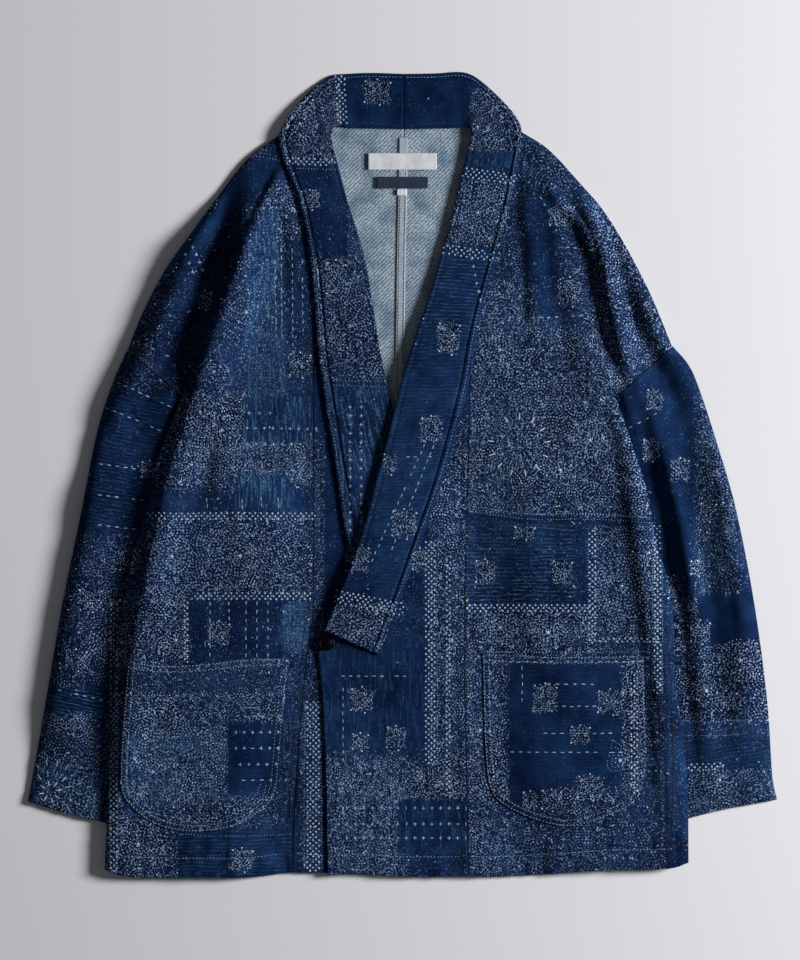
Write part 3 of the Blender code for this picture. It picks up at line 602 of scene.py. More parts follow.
def cluster_reach(away, wide, high):
    """Distance from the middle of a small four-cornered motif, 1 at its drawn-in edge."""
    away = away / (wide / 2, high / 2)
    return np.hypot(away[:, 0], away[:, 1]) / (1 - 0.17 * np.cos(4 * np.arctan2(away[:, 1], away[:, 0])))


def pattern_weights(points, layout):
    """How much of each kind of weave a place has, from its ground and its patches in the photograph."""
    weights = {kind: np.full(len(points), float(layout["ground"].get(kind, 0))) for kind in KINDS}
    for outline, soft, changes in layout["patches"]:
        area = to_plan(rectangle(*outline) if np.ndim(outline) == 1 else outline)
        share = presence(points, area, -soft / 2, soft) if soft < 6 else presence(points, area, 0, soft)
        for kind, level in changes.items():
            weights[kind] += share * (level - weights[kind])
    for x, y, wide, high in CLUSTERS if layout["clusters"] else ():
        away = cluster_reach((points - to_plan([(x, y)])) / MM_PER_PIXEL, wide, high)
        share = 1 - soft_step((away + 0.35 * noise(points, 6, 6, 0, 57) - 0.80) / 0.30)
        weights["speckle"] = np.maximum(weights["speckle"], 0.85 * share)
        weights["stripe"] *= 1 - share
        weights["streak"] *= 1 - share
    return weights


def rectangle(left, top, right, bottom):
    return [(left, top), (right, top), (right, bottom), (left, bottom)]


# Small four-cornered motifs of flecks, in photo pixels: middle, width and height
CLUSTERS = [
    (219, 634, 24, 26), (242, 860, 24, 24), (310, 200, 22, 20), (336, 279, 22, 38), (377, 92, 30, 26),
    (449, 338, 24, 34), (431, 430, 24, 28), (390, 464, 14, 22), (404, 524, 28, 30), (357, 559, 26, 30),
    (524, 533, 24, 14), (485, 572, 22, 26), (562, 573, 22, 28), (545, 699, 27, 32), (610, 702, 30, 26),
    (580, 735, 22, 20), (590, 787, 30, 26), (551, 800, 22, 22), (654, 400, 16, 24), (651, 450, 18, 24),
    (674, 588, 14, 26), (697, 568, 16, 16), (570, 292, 26, 30), (562, 216, 28, 24), (300, 365, 24, 26),
    (205, 300, 14, 20), (420, 560, 18, 24), (362, 700, 26, 26), (396, 738, 22, 24), (360, 742, 18, 18),
    (182, 800, 20, 18), (150, 470, 20, 18), (640, 560, 20, 20), (700, 632, 22, 24), (726, 700, 24, 18),
    (90, 600, 26, 24), (130, 560, 24, 26), (76, 660, 24, 22), (610, 390, 22, 26), (600, 330, 18, 24),
    (478, 138, 22, 22), (302, 108, 24, 22), (530, 800, 16, 18), (680, 470, 20, 24), (708, 512, 18, 20),
]


# Grounds and patches in photo pixels: an outline or left, top, right, bottom; the softness of its edge in mm;
# and its share of each kind of weave. A low fade is the cloth's deep tone, and in two places painted shade.
PLAIN = {"speckle": 0.0, "stripe": 0.0, "streak": 0.0, "fade": -0.25}
DENSE = {"speckle": 1.0, "stripe": 0.0}
LAYOUTS = {
    "front_right": {"clusters": True, "ground": {"speckle": 0.36, "fade": -0.05}, "patches": [
        ((248, 195, 300, 245), 14, {"speckle": 0.85, "fade": 0.25}),
        ([(205, 280), (245, 240), (252, 330), (250, 400), (200, 400), (190, 350)], 10, {"speckle": 0.34}),
        ([(190, 232), (240, 175), (290, 145), (290, 172), (262, 182), (236, 205), (200, 256), (176, 300)], 8,
         {"speckle": 0.08, "fade": 0.1}),
        # Painted shade: a deeper tone and fewer flecks along the shaded valley beside the main shoulder fold.
        ([(270, 180), (250, 226), (232, 266), (214, 325), (198, 375), (176, 425), (140, 440), (160, 350),
          (184, 281), (222, 225)], 8, {"speckle": 0.22, "fade": -0.45}),
        ([(252, 212), (275, 215), (284, 350), (284, 440), (252, 440), (248, 340)], 10,
         {"fade": 0.8, "speckle": 0.3}),
        ([(288, 240), (306, 240), (311, 420), (290, 420)], 8, {"speckle": 0.25, "fade": 0.0}),
        ((170, 400, 246, 486), 10, {"speckle": 0.95, "fade": 0.1}),
        ((246, 400, 312, 446), 6, {"streak": 0.8, "speckle": 0.12, "fade": 0.1}),
        ((190, 446, 312, 482), 6, {"speckle": 0.8, "streak": 0.5, "fade": 0.2}),
        ((240, 478, 286, 504), 10, {"streak": 1.0, "speckle": 0.1}),
        ((150, 488, 312, 512), 4, {"speckle": 0.02, "fade": -0.05}),
        ((148, 519, 312, 592), 4, DENSE),
        ((112, 598, 184, 662), 6, {"speckle": 0.95}),
        ((190, 600, 287, 664), 3, PLAIN),
        ((286, 606, 312, 650), 6, {"fade": 0.9, "stripe": 0.8, "speckle": 0.3}),
        ((284, 655, 312, 830), 6, {"speckle": 0.25, "fade": -0.1, "streak": 0.3}),
        ((104, 664, 122, 840), 4, {"speckle": 0.8}),
        ((104, 820, 182, 880), 6, {"speckle": 1.0}),
        ((180, 832, 296, 880), 6, {"speckle": 0.06, "stripe": 0.6, "fade": -0.1}),
    ]},
    "front_left": {"clusters": True, "ground": {"speckle": 0.36, "fade": 0.0}, "patches": [
        ((468, 290, 530, 505), 12, {"speckle": 0.95, "fade": 0.4}),
        ((530, 200, 580, 270), 12, {"speckle": 0.15}),
        ((532, 268, 562, 316), 4, {"speckle": 0.02, "fade": -0.6}),
        ((562, 200, 610, 345), 12, {"speckle": 0.35, "fade": 0.1}),
        ((600, 200, 680, 400), 14, {"speckle": 0.7}),
        ((530, 340, 660, 505), 16, {"speckle": 0.9, "fade": 0.15}),
        ([(468, 514), (660, 520), (655, 604), (468, 604)], 3, {"speckle": 0.0, "fade": -0.15}),
        ((468, 528, 572, 598), 8, {"stripe": 0.9}),
        ((594, 526, 657, 642), 4, DENSE),
        ((468, 613, 594, 656), 4, DENSE),
        ([(661, 518), (682, 518), (700, 640), (704, 870), (666, 870)], 3, {"speckle": 0.04, "fade": 0.05}),
        ((466, 655, 484, 870), 5, {"speckle": 0.9}),
        ((484, 822, 520, 870), 6, {"speckle": 0.5, "streak": 0.6}),
        ((520, 822, 604, 870), 8, {"speckle": 0.45, "fade": -0.05}),
    ]},
    "overlap_right": {"clusters": True, "ground": {"speckle": 0.12, "fade": -0.1}, "patches": [
        ((300, 440, 324, 880), 5, {"speckle": 0.6, "fade": 0.3}),
    ]},
    "overlap_left": {"clusters": True, "ground": {"speckle": 0.2, "fade": 0.0}, "patches": [
        ((325, 640, 422, 745), 6, {"speckle": 0.05, "fade": -0.05, "streak": 0.25}),
        ((430, 420, 468, 770), 5, {"speckle": 0.95, "fade": 0.05}),
        ((330, 760, 400, 880), 12, {"speckle": 0.6, "streak": 0.5, "fade": 0.1}),
        ((400, 765, 466, 798), 6, {"speckle": 0.7}),
        ((400, 802, 466, 850), 6, {"speckle": 0.08, "streak": 0.3}),
    ]},
    # Painted shade: this sleeve's deep ground tone and dimmed flecks stand in for the shade the body casts on
    # it.
    "sleeve_right": {"clusters": True, "ground": {"speckle": 0.28, "fade": -0.45}, "patches": [
        ((60, 360, 190, 400), 10, {"speckle": 0.35}),
        ((60, 400, 175, 535), 16, {"speckle": 0.12, "stripe": 0.45}),
        ((40, 540, 180, 690), 10, {"speckle": 0.45, "stripe": 0.0}),
        ((30, 690, 160, 715), 6, {"stripe": 0.8, "speckle": 0.1}),
        ((20, 716, 170, 760), 10, {"speckle": 0.5}),
        ((20, 766, 200, 870), 6, {"speckle": 0.4, "streak": 0.5}),
    ]},
    "sleeve_left": {"clusters": True, "ground": {"speckle": 0.25, "fade": -0.2}, "patches": [
        ((612, 350, 690, 640), 14, {"speckle": 0.1, "fade": -0.1}),
        ((700, 400, 732, 600), 10, {"speckle": 0.5, "streak": 0.3}),
        ((690, 598, 760, 652), 6, PLAIN),
        ([(672, 600), (694, 600), (700, 650), (770, 640), (775, 718), (672, 718)], 6, {"speckle": 0.8}),
        ((660, 721, 790, 737), 3, {"fade": 0.7, "speckle": 0.3}),
        ((660, 740, 790, 766), 5, {"stripe": 0.9, "speckle": 0.1}),
        ((660, 772, 790, 830), 6, {"speckle": 0.55, "streak": 0.4}),
    ]},
    "collar_right": {"clusters": True, "ground": {"speckle": 0.4, "fade": 0.0}, "patches": [
        ((340, 60, 402, 128), 8, {"speckle": 0.06, "fade": -0.35}),
        ((270, 80, 338, 160), 6, {"speckle": 0.75, "fade": 0.0}),
        ((270, 166, 345, 255), 6, {"speckle": 0.15, "fade": -0.15}),
        ((285, 262, 385, 378), 8, {"speckle": 0.6}),
        ((300, 384, 420, 640), 8, {"streak": 0.7, "speckle": 0.15, "fade": 0.05}),
    ]},
    "collar_left": {"clusters": True, "ground": {"speckle": 0.15, "fade": 0.0}, "patches": [
        ((402, 60, 466, 130), 8, {"speckle": 0.06, "fade": -0.3}),
        ((474, 92, 530, 150), 6, {"speckle": 0.7}),
        ((462, 150, 530, 166), 5, {"streak": 0.8, "speckle": 0.1}),
        ((440, 180, 520, 246), 4, DENSE),
        ((400, 258, 520, 340), 6, {"speckle": 0.04, "stripe": 0.9, "fade": 0.0}),
        ((380, 340, 500, 595), 10, {"speckle": 0.04, "stripe": 0.4, "fade": 0.1}),
        ((310, 608, 400, 670), 6, {"speckle": 0.85, "fade": 0.1}),
    ]},
    "pocket_right": {"clusters": True, "ground": {"speckle": 0.6, "fade": 0.05}, "patches": [
        ((100, 655, 300, 667), 3, {"speckle": 0.3, "fade": 0.7}),
        ((100, 671, 300, 694), 4, {"speckle": 0.06, "fade": -0.05, "streak": 0.3}),
        ((120, 696, 284, 730), 6, {"speckle": 0.6}),
        ((123, 738, 228, 795), 14, {"fade": 0.75, "speckle": 0.95, "stripe": 0.5}),
        ((230, 725, 282, 792), 6, {"fade": -0.05, "speckle": 0.06, "stripe": 0.0}),
    ]},
    "pocket_left": {"clusters": True, "ground": {"speckle": 0.3, "fade": 0.0}, "patches": [
        ((488, 662, 512, 800), 5, {"speckle": 0.9}),
        ((512, 662, 624, 800), 6, {"speckle": 0.05, "stripe": 0.12, "fade": -0.1}),
        ((480, 650, 650, 664), 3, {"speckle": 0.5, "fade": 0.2}),
        ((625, 665, 652, 790), 6, {"speckle": 0.9}),
        ((560, 790, 640, 825), 8, {"speckle": 0.6}),
    ]},
    "back": {"clusters": False, "ground": {"speckle": 0.6, "fade": 0.0}, "patches": [
        ((180, 180, 320, 300), 4, PLAIN),
        ((330, 240, 520, 420), 4, {"speckle": 0.05, "stripe": 1.0}),
        ((470, 150, 620, 260), 4, DENSE),
        ((130, 420, 300, 560), 4, {"streak": 1.0, "speckle": 0.3, "fade": 0.3}),
        ((300, 520, 470, 660), 4, DENSE), ((500, 480, 680, 600), 4, PLAIN),
        ((150, 680, 330, 800), 4, {"speckle": 0.1, "stripe": 0.9}),
        ((420, 700, 640, 830), 10, {"fade": 0.6, "speckle": 0.9}),
    ]},
    "none": {"clusters": False, "ground": {}, "patches": []},
}


def put(tree, kind, inputs=(), **settings):
    """A shader node with its settings and its inputs, each a number, a colour or another node's output."""
    node = tree.nodes.new("ShaderNode" + kind)
    for key, value in settings.items():
        setattr(node, key, value)
    for key, value in dict(inputs).items():
        if isinstance(value, bpy.types.NodeSocket):
            tree.links.new(value, node.inputs[key])
        else:
            node.inputs[key].default_value = value
    return node


class Finish:
    """A procedural material, with short names for the sums that its pattern needs."""

    def __init__(self, name, roughness, sheen=0.0, metallic=0.0, specular=0.1,
                 sheen_tint=(1.0, 1.0, 1.0, 1.0)):
        self.material = bpy.data.materials.new(name)
        self.material.use_nodes = True
        self.tree = self.material.node_tree
        self.shader = self.tree.nodes["Principled BSDF"]
        self.shader.inputs["Roughness"].default_value = roughness
        self.shader.inputs["Sheen Weight"].default_value = sheen
        self.shader.inputs["Sheen Roughness"].default_value = 0.6
        self.shader.inputs["Metallic"].default_value = metallic
        self.shader.inputs["Sheen Tint"].default_value = sheen_tint
        self.shader.inputs["Specular IOR Level"].default_value = specular

    def sum(self, operation, *values, clamp=False):
        return put(self.tree, "Math", dict(enumerate(values)), operation=operation,
                   use_clamp=clamp).outputs[0]

    def step(self, value, low, high):
        return put(self.tree, "MapRange", {"Value": value, "From Min": low, "From Max": high},
                   interpolation_type="SMOOTHSTEP").outputs["Result"]

    def noise(self, place, scale, detail=2.0):
        return put(self.tree, "TexNoise", {"Vector": place, "Scale": scale, "Detail": detail},
                   noise_dimensions="2D").outputs["Fac"]

    def scaled(self, place, x, y):
        return put(self.tree, "VectorMath", {0: place, 1: (x, y, 1.0)}, operation="MULTIPLY").outputs[0]

    def mix(self, share, first, second):
        node = put(self.tree, "Mix", (), data_type="RGBA")
        for socket, value in ((0, share), (6, first), (7, second)):
            if isinstance(value, bpy.types.NodeSocket):
                self.tree.links.new(value, node.inputs[socket])
            else:
                node.inputs[socket].default_value = value
        return node.outputs[2]

    def attribute(self, name, output="Fac"):
        return put(self.tree, "Attribute", (), attribute_name=name).outputs[output]

    def finish(self, colour, roughness, height, depth):
        self.tree.links.new(colour, self.shader.inputs["Base Color"])
        self.tree.links.new(roughness, self.shader.inputs["Roughness"])
        bump = put(self.tree, "Bump", {"Height": height, "Distance": depth * MM, "Strength": 1.0})
        self.tree.links.new(bump.outputs[0], self.shader.inputs["Normal"])
        return self.material


# Colours of the cloth, from the darkest warp to the bare pale thread
DEEP = (0.0009, 0.0042, 0.023, 1.0)
INDIGO = (0.0108, 0.039, 0.124, 1.0)
FADED = (0.055, 0.145, 0.270, 1.0)
PALE_THREAD = (0.46, 0.64, 0.95, 1.0)
TWILL_PITCH = 2.2
RING_PITCH = 3.2
DOT_PITCH = 3.0
ROSETTE = 32.0


def indigo_weave(name, lean=1.0):
    """Indigo twill with woven dots, broken stripes, rubbed streaks and soft fading; a low fade also paints
    shade in a few places.
    """
    f = Finish(name, 0.85, sheen=0.05, specular=0.015, sheen_tint=(0.12, 0.35, 0.85, 1.0))
    chart = f.attribute("chart", "Vector")
    axes = put(f.tree, "SeparateXYZ", {0: chart})
    x, y = axes.outputs[0], axes.outputs[1]
    speckle, stripe = f.attribute("speckle"), f.attribute("stripe")
    # fade holds the cloth's faded and deep tones, and also painted shade where a layout sets it low for a
    # shaded place.
    streak, fade = f.attribute("streak"), f.attribute("fade")

    # Twill: fine ribs that fall to the right
    slant = f.sum("ADD", x, f.sum("MULTIPLY", y, lean))
    ribs = f.sum("SINE", f.sum("MULTIPLY", slant, 2 * np.pi / (TWILL_PITCH * np.sqrt(2))))
    fuzz = f.noise(chart, 1.1, 1.0)
    cloud = f.noise(chart, 0.011, 3.0)
    patchy = f.noise(chart, 0.06, 3.0)
    tone = f.sum("MULTIPLY_ADD", ribs, 0.20, 0.42)
    tone = f.sum("MULTIPLY_ADD", f.sum("SUBTRACT", cloud, 0.5), 0.9, tone)
    tone = f.sum("MULTIPLY_ADD", f.sum("SUBTRACT", patchy, 0.5), 0.7, tone)
    tone = f.sum("MULTIPLY_ADD", f.sum("SUBTRACT", fuzz, 0.5), 0.9, tone)
    # Tone follows fade, and so carries its painted shade as well.
    tone = f.sum("MULTIPLY_ADD", fade, 0.32, tone)
    tone = f.sum("MULTIPLY_ADD", speckle, -0.36, tone)
    colour = f.mix(f.sum("MULTIPLY", tone, 1.0, clamp=True), DEEP, INDIGO)
    worn = f.sum("MULTIPLY", f.step(tone, 0.6, 1.3), f.step(f.noise(chart, 0.45, 2.0), 0.35, 0.7))
    colour = f.mix(worn, colour, FADED)

    # Rubbed warp streaks and weft stripes
    up = f.noise(f.scaled(chart, 0.42, 0.045), 1.0, 2.0)
    rubs = f.sum("MAXIMUM", streak, f.sum("MULTIPLY", fade, 0.8))
    streaks = f.sum("MULTIPLY", f.step(up, 0.50, 0.64), rubs)
    streaks = f.sum("MULTIPLY", streaks, f.step(f.noise(f.scaled(chart, 0.6, 0.3), 1.0, 1.0), 0.3, 0.6))
    wavy = f.sum("MULTIPLY_ADD", f.noise(f.scaled(chart, 0.02, 0.05), 1.0, 1.0), 6.0, y)
    lines = f.step(f.sum("SINE", f.sum("MULTIPLY", wavy, 2 * np.pi / 3.9)), 0.0, 0.95)
    broken = f.step(f.noise(f.scaled(chart, 0.09, 0.75), 1.0, 2.0), 0.40, 0.66)
    stripes = f.sum("MULTIPLY", f.sum("MULTIPLY", lines, broken), f.sum("MULTIPLY", stripe, 0.62))
    rubbed = f.sum("MAXIMUM", streaks, stripes)
    colour = f.mix(f.sum("MULTIPLY", rubbed, 0.85), colour, FADED)

    # Rings of small dots about scattered centres
    place = f.scaled(chart, 1 / ROSETTE, 1 / ROSETTE)
    centres = put(f.tree, "TexVoronoi", {"Vector": place, "Scale": 1.0}, voronoi_dimensions="2D")
    radius = f.sum("MULTIPLY", centres.outputs["Distance"], ROSETTE)
    ring = f.sum("FLOOR", f.sum("DIVIDE", radius, RING_PITCH))
    away = put(f.tree, "VectorMath", {0: place, 1: centres.outputs["Position"]},
               operation="SUBTRACT").outputs[0]
    turn = put(f.tree, "SeparateXYZ", {0: away})
    angle = f.sum("ARCTAN2", turn.outputs[1], turn.outputs[0])
    count = f.sum("ROUND", f.sum("MULTIPLY_ADD", ring, 2 * np.pi * RING_PITCH / DOT_PITCH, np.pi))
    around = f.sum("COSINE", f.sum("MULTIPLY", angle, count))
    across = f.sum("COSINE", f.sum("MULTIPLY", f.sum("SUBTRACT", radius, RING_PITCH / 2),
                                   2 * np.pi / RING_PITCH))
    rings = f.step(f.sum("ADD", around, across), 0.75, 1.45)
    rings = f.sum("MULTIPLY", rings,
                  f.sum("MULTIPLY_ADD", f.sum("SINE", f.sum("MULTIPLY", ring, 2.3)), 0.28, 0.72))

    # Loose flecks of uneven size and brightness
    cells = put(f.tree, "TexVoronoi", {"Vector": chart, "Scale": 0.40}, voronoi_dimensions="2D")
    chance = put(f.tree, "SeparateColor", {0: cells.outputs["Color"]})
    size = f.sum("MULTIPLY_ADD", chance.outputs[0], 0.22, 0.14)
    loose = f.step(f.sum("SUBTRACT", size, cells.outputs["Distance"]), -0.06, 0.08)
    loose = f.sum("MULTIPLY", loose, f.sum("MULTIPLY_ADD", f.step(chance.outputs[1], 0.30, 1.0), 0.78, 0.22))
    choice = f.step(f.noise(chart, 0.04, 1.0), 0.44, 0.54)
    dots = put(f.tree, "Mix", {0: choice, 2: rings, 3: loose}, data_type="FLOAT").outputs[0]

    # Broken looping lines between the flecks, like the outlines of leaves and clouds
    bend = f.noise(chart, 0.045, 1.5)
    loops = f.sum("ABSOLUTE", f.sum("SINE", f.sum("MULTIPLY", bend, 30.0)))
    loops = f.sum("SUBTRACT", 1.0, f.step(loops, 0.06, 0.30))
    loops = f.sum("MULTIPLY", loops, f.step(f.noise(chart, 0.62, 1.0), 0.44, 0.62))
    gap = f.step(f.noise(chart, 0.22, 2.0), 0.36, 0.56)
    dots = f.sum("MAXIMUM", f.sum("MULTIPLY", dots, f.sum("MULTIPLY_ADD", gap, 0.75, 0.25)), loops)
    level = f.sum("MULTIPLY_ADD", f.noise(chart, 0.09, 2.0), 2.2, -0.6, clamp=True)
    present = f.step(f.sum("ADD", speckle, f.sum("MULTIPLY_ADD", f.noise(chart, 0.3, 2.0), 0.9, -0.45)),
                     0.10, 0.60)
    dots = f.sum("MULTIPLY", f.sum("MULTIPLY", dots, present), f.sum("MULTIPLY_ADD", level, 0.6, 0.4))
    # Flecks dim where fade is low, so painted shade dims them too.
    dots = f.sum("MULTIPLY", dots, f.sum("MULTIPLY_ADD", fade, 0.6, 0.95, clamp=True))
    colour = f.mix(f.sum("MULTIPLY", dots, 0.88), colour, PALE_THREAD)

    height = f.sum("MULTIPLY_ADD", ribs, 0.35, f.sum("MULTIPLY", dots, 0.9))
    height = f.sum("MULTIPLY_ADD", rubbed, 0.3, height)
    height = f.sum("MULTIPLY_ADD", fuzz, 0.5, height)
    rough = f.sum("MULTIPLY_ADD", fuzz, 0.16, 0.76)
    return f.finish(colour, rough, height, 0.22)


def inside_weave(name):
    """The pale inside of the same cloth, with blue-grey mottles and opposite ribs."""
    f = Finish(name, 0.88, sheen=0.1)
    chart = f.attribute("chart", "Vector")
    axes = put(f.tree, "SeparateXYZ", {0: chart})
    slant = f.sum("SUBTRACT", axes.outputs[0], axes.outputs[1])
    ribs = f.sum("SINE", f.sum("MULTIPLY", slant, 2 * np.pi / (3.0 * np.sqrt(2))))
    fuzz = f.noise(chart, 0.9, 2.0)
    mottle = f.noise(chart, 0.045, 4.0)
    flecks = f.step(f.noise(chart, 0.52, 1.0), 0.50, 0.62)
    tone = f.sum("MULTIPLY_ADD", f.sum("SUBTRACT", mottle, 0.5), 1.9, 0.60)
    tone = f.sum("MULTIPLY_ADD", ribs, 0.15, tone)
    tone = f.sum("MULTIPLY_ADD", f.sum("SUBTRACT", fuzz, 0.5), 0.7, tone)
    colour = f.mix(f.sum("MULTIPLY", tone, 1.0, clamp=True), (0.10, 0.17, 0.25, 1.0), (0.40, 0.49, 0.56, 1.0))
    colour = f.mix(f.sum("MULTIPLY", flecks, 0.65), colour, (0.045, 0.10, 0.19, 1.0))
    rough = f.sum("MULTIPLY_ADD", fuzz, 0.15, 0.78)
    height = f.sum("MULTIPLY_ADD", ribs, 0.6, f.sum("MULTIPLY", fuzz, 0.8))
    return f.finish(colour, rough, height, 0.25)


def plain_weave(name, dark, light, pitch, depth=0.12):
    """A small ribbed weave in two near tones, read from the piece's own position."""
    f = Finish(name, 0.8, sheen=0.1)
    place = put(f.tree, "TexCoord").outputs["Object"]
    mm = put(f.tree, "VectorMath", {0: place, 1: (1000, 1000, 1000)}, operation="MULTIPLY").outputs[0]
    axes = put(f.tree, "SeparateXYZ", {0: mm})
    weft = f.sum("SINE", f.sum("MULTIPLY", axes.outputs[1], 2 * np.pi / pitch))
    warp = f.sum("SINE", f.sum("MULTIPLY", axes.outputs[0], 2 * np.pi / (pitch * 1.3)))
    cloud = put(f.tree, "TexNoise", {"Vector": mm, "Scale": 0.16, "Detail": 3.0}).outputs["Fac"]
    tone = f.sum("MULTIPLY_ADD", f.sum("MULTIPLY", weft, warp), 0.2, f.sum("MULTIPLY", cloud, 1.1),
                 clamp=True)
    colour = f.mix(tone, dark, light)
    height = f.sum("ADD", f.sum("MULTIPLY", weft, 0.5), f.sum("MULTIPLY", warp, 0.3))
    return f.finish(colour, f.sum("MULTIPLY_ADD", cloud, 0.2, 0.65), height, depth)


INDIGO_CLOTH = indigo_weave("indigo_patchwork")
INSIDE_CLOTH = inside_weave("pale_inside")
WHITE_CLOTH = plain_weave("white_woven", (0.55, 0.57, 0.62, 1.0), (0.80, 0.81, 0.84, 1.0), 0.9)
NAVY_CLOTH = plain_weave("navy_woven", (0.008, 0.012, 0.035, 1.0), (0.030, 0.042, 0.085, 1.0), 0.9)
TAPE_CLOTH = plain_weave("tape_woven", (0.22, 0.29, 0.36, 1.0), (0.44, 0.51, 0.57, 1.0), 1.4)


def laid(panel, height):
    def place(u, v):
        points = panel.at(u, v)
        return np.column_stack([points, height(points)])
    return place


PIECES = {}


def keep(piece, node):
    """The piece stands for its solid and rides with the body."""
    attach(piece, "root")
    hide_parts(node)
    PIECES[node] = piece


def make_backs():
    seam = np.array(BACK_SEAM, dtype=float)
    neck = (-70, NECK_TOP), (70, NECK_TOP)
    right_edge = seam - (SEAM / 2, 0)
    left_edge = seam + (SEAM / 2, 0)
    right_panel = Panel(
        bottom=Path(HEM_RIGHT[:-1] + [tuple(HEM_RIGHT[-1]), tuple(right_edge[0])]),
        top=Path(SHOULDER_RIGHT, [SHOULDER_RIGHT[-1], neck[0]], [neck[0], tuple(right_edge[-1])]),
        left=Path(SIDE_RIGHT[::-1], ARMHOLE_RIGHT[::-1]),
        right=Path(right_edge))
    left_panel = Panel(
        bottom=Path([tuple(left_edge[0])] + HEM_LEFT[::-1]),
        top=Path([tuple(left_edge[-1]), neck[1]], [neck[1], SHOULDER_LEFT[-1]], SHOULDER_LEFT[::-1]),
        left=Path(left_edge), right=Path(SIDE_LEFT[::-1], ARMHOLE_LEFT[::-1]))
    rows = spaced(800, COARSE)
    for name, panel, side, corner in (("back_right", right_panel, RIGHT, right_panel.left.first_corner),
                                      ("back_left", left_panel, LEFT, left_panel.right.first_corner)):
        piece = shell(name, spaced(300, COARSE), with_corner(rows, corner), laid(panel, side.back_height),
                      CLOTH, (INSIDE_CLOTH, INDIGO_CLOTH), LAYOUTS["back"])
        keep(piece, name)


def make_fronts():
    right_panel = Panel(
        bottom=Path(HEM_RIGHT),
        top=Path(SHOULDER_RIGHT, [SHOULDER_RIGHT[-1], FRONT_SEAM_RIGHT[-1]]),
        left=Path(SIDE_RIGHT[::-1], ARMHOLE_RIGHT[::-1]),
        right=Path(FRONT_SEAM_RIGHT))
    left_panel = Panel(
        bottom=Path(HEM_LEFT[::-1]),
        top=Path([FRONT_SEAM_LEFT[-1], SHOULDER_LEFT[-1]], SHOULDER_LEFT[::-1]),
        left=Path(FRONT_SEAM_LEFT),
        right=Path(SIDE_LEFT[::-1], ARMHOLE_LEFT[::-1]))
    rows = spaced(780, FINE)
    columns = spaced(200, FINE, (0.0, 0.4, 1.0, 1.8, 2.8, 4.0))
    for name, panel, height, corner in (
            ("front_right", right_panel, right_front_height, right_panel.left.first_corner),
            ("front_left", left_panel, left_front_height, left_panel.right.first_corner)):
        piece = shell(name, columns, with_corner(rows, corner), laid(panel, height), CLOTH,
                      (INDIGO_CLOTH, INSIDE_CLOTH), LAYOUTS[name])
        keep(piece, name)


def make_overlaps():
    """Long panels sewn to the fronts along a seam and edged above by the collars."""
    right_seam = offset_line(OVERLAP_SEAM_RIGHT, -SEAM)
    right_panel = Panel(
        bottom=Path([tuple(right_seam[0]), (-27, -408), OVERLAP_EDGE_RIGHT[0]]),
        top=Path([tuple(right_seam[-1]), OVERLAP_EDGE_RIGHT[-1]]),
        left=Path(right_seam),
        right=Path(OVERLAP_EDGE_RIGHT))
    left_seam = offset_line(OVERLAP_SEAM_LEFT, SEAM)
    left_panel = Panel(
        bottom=Path([OVERLAP_EDGE_LEFT[0], (-43, -407), (0, -410), tuple(left_seam[0])]),
        top=Path([OVERLAP_EDGE_LEFT[-1], tuple(left_seam[-1])]),
        left=Path(OVERLAP_EDGE_LEFT),
        right=Path(left_seam))
    for name, panel, height in (("overlap_right", right_panel, right_front_height),
                                ("overlap_left", left_panel, left_front_height)):
        piece = shell(name, spaced(110, FINE), spaced(590, FINE), laid(panel, height), CLOTH,
                      (INDIGO_CLOTH, INSIDE_CLOTH), LAYOUTS[name])
        keep(piece, name)


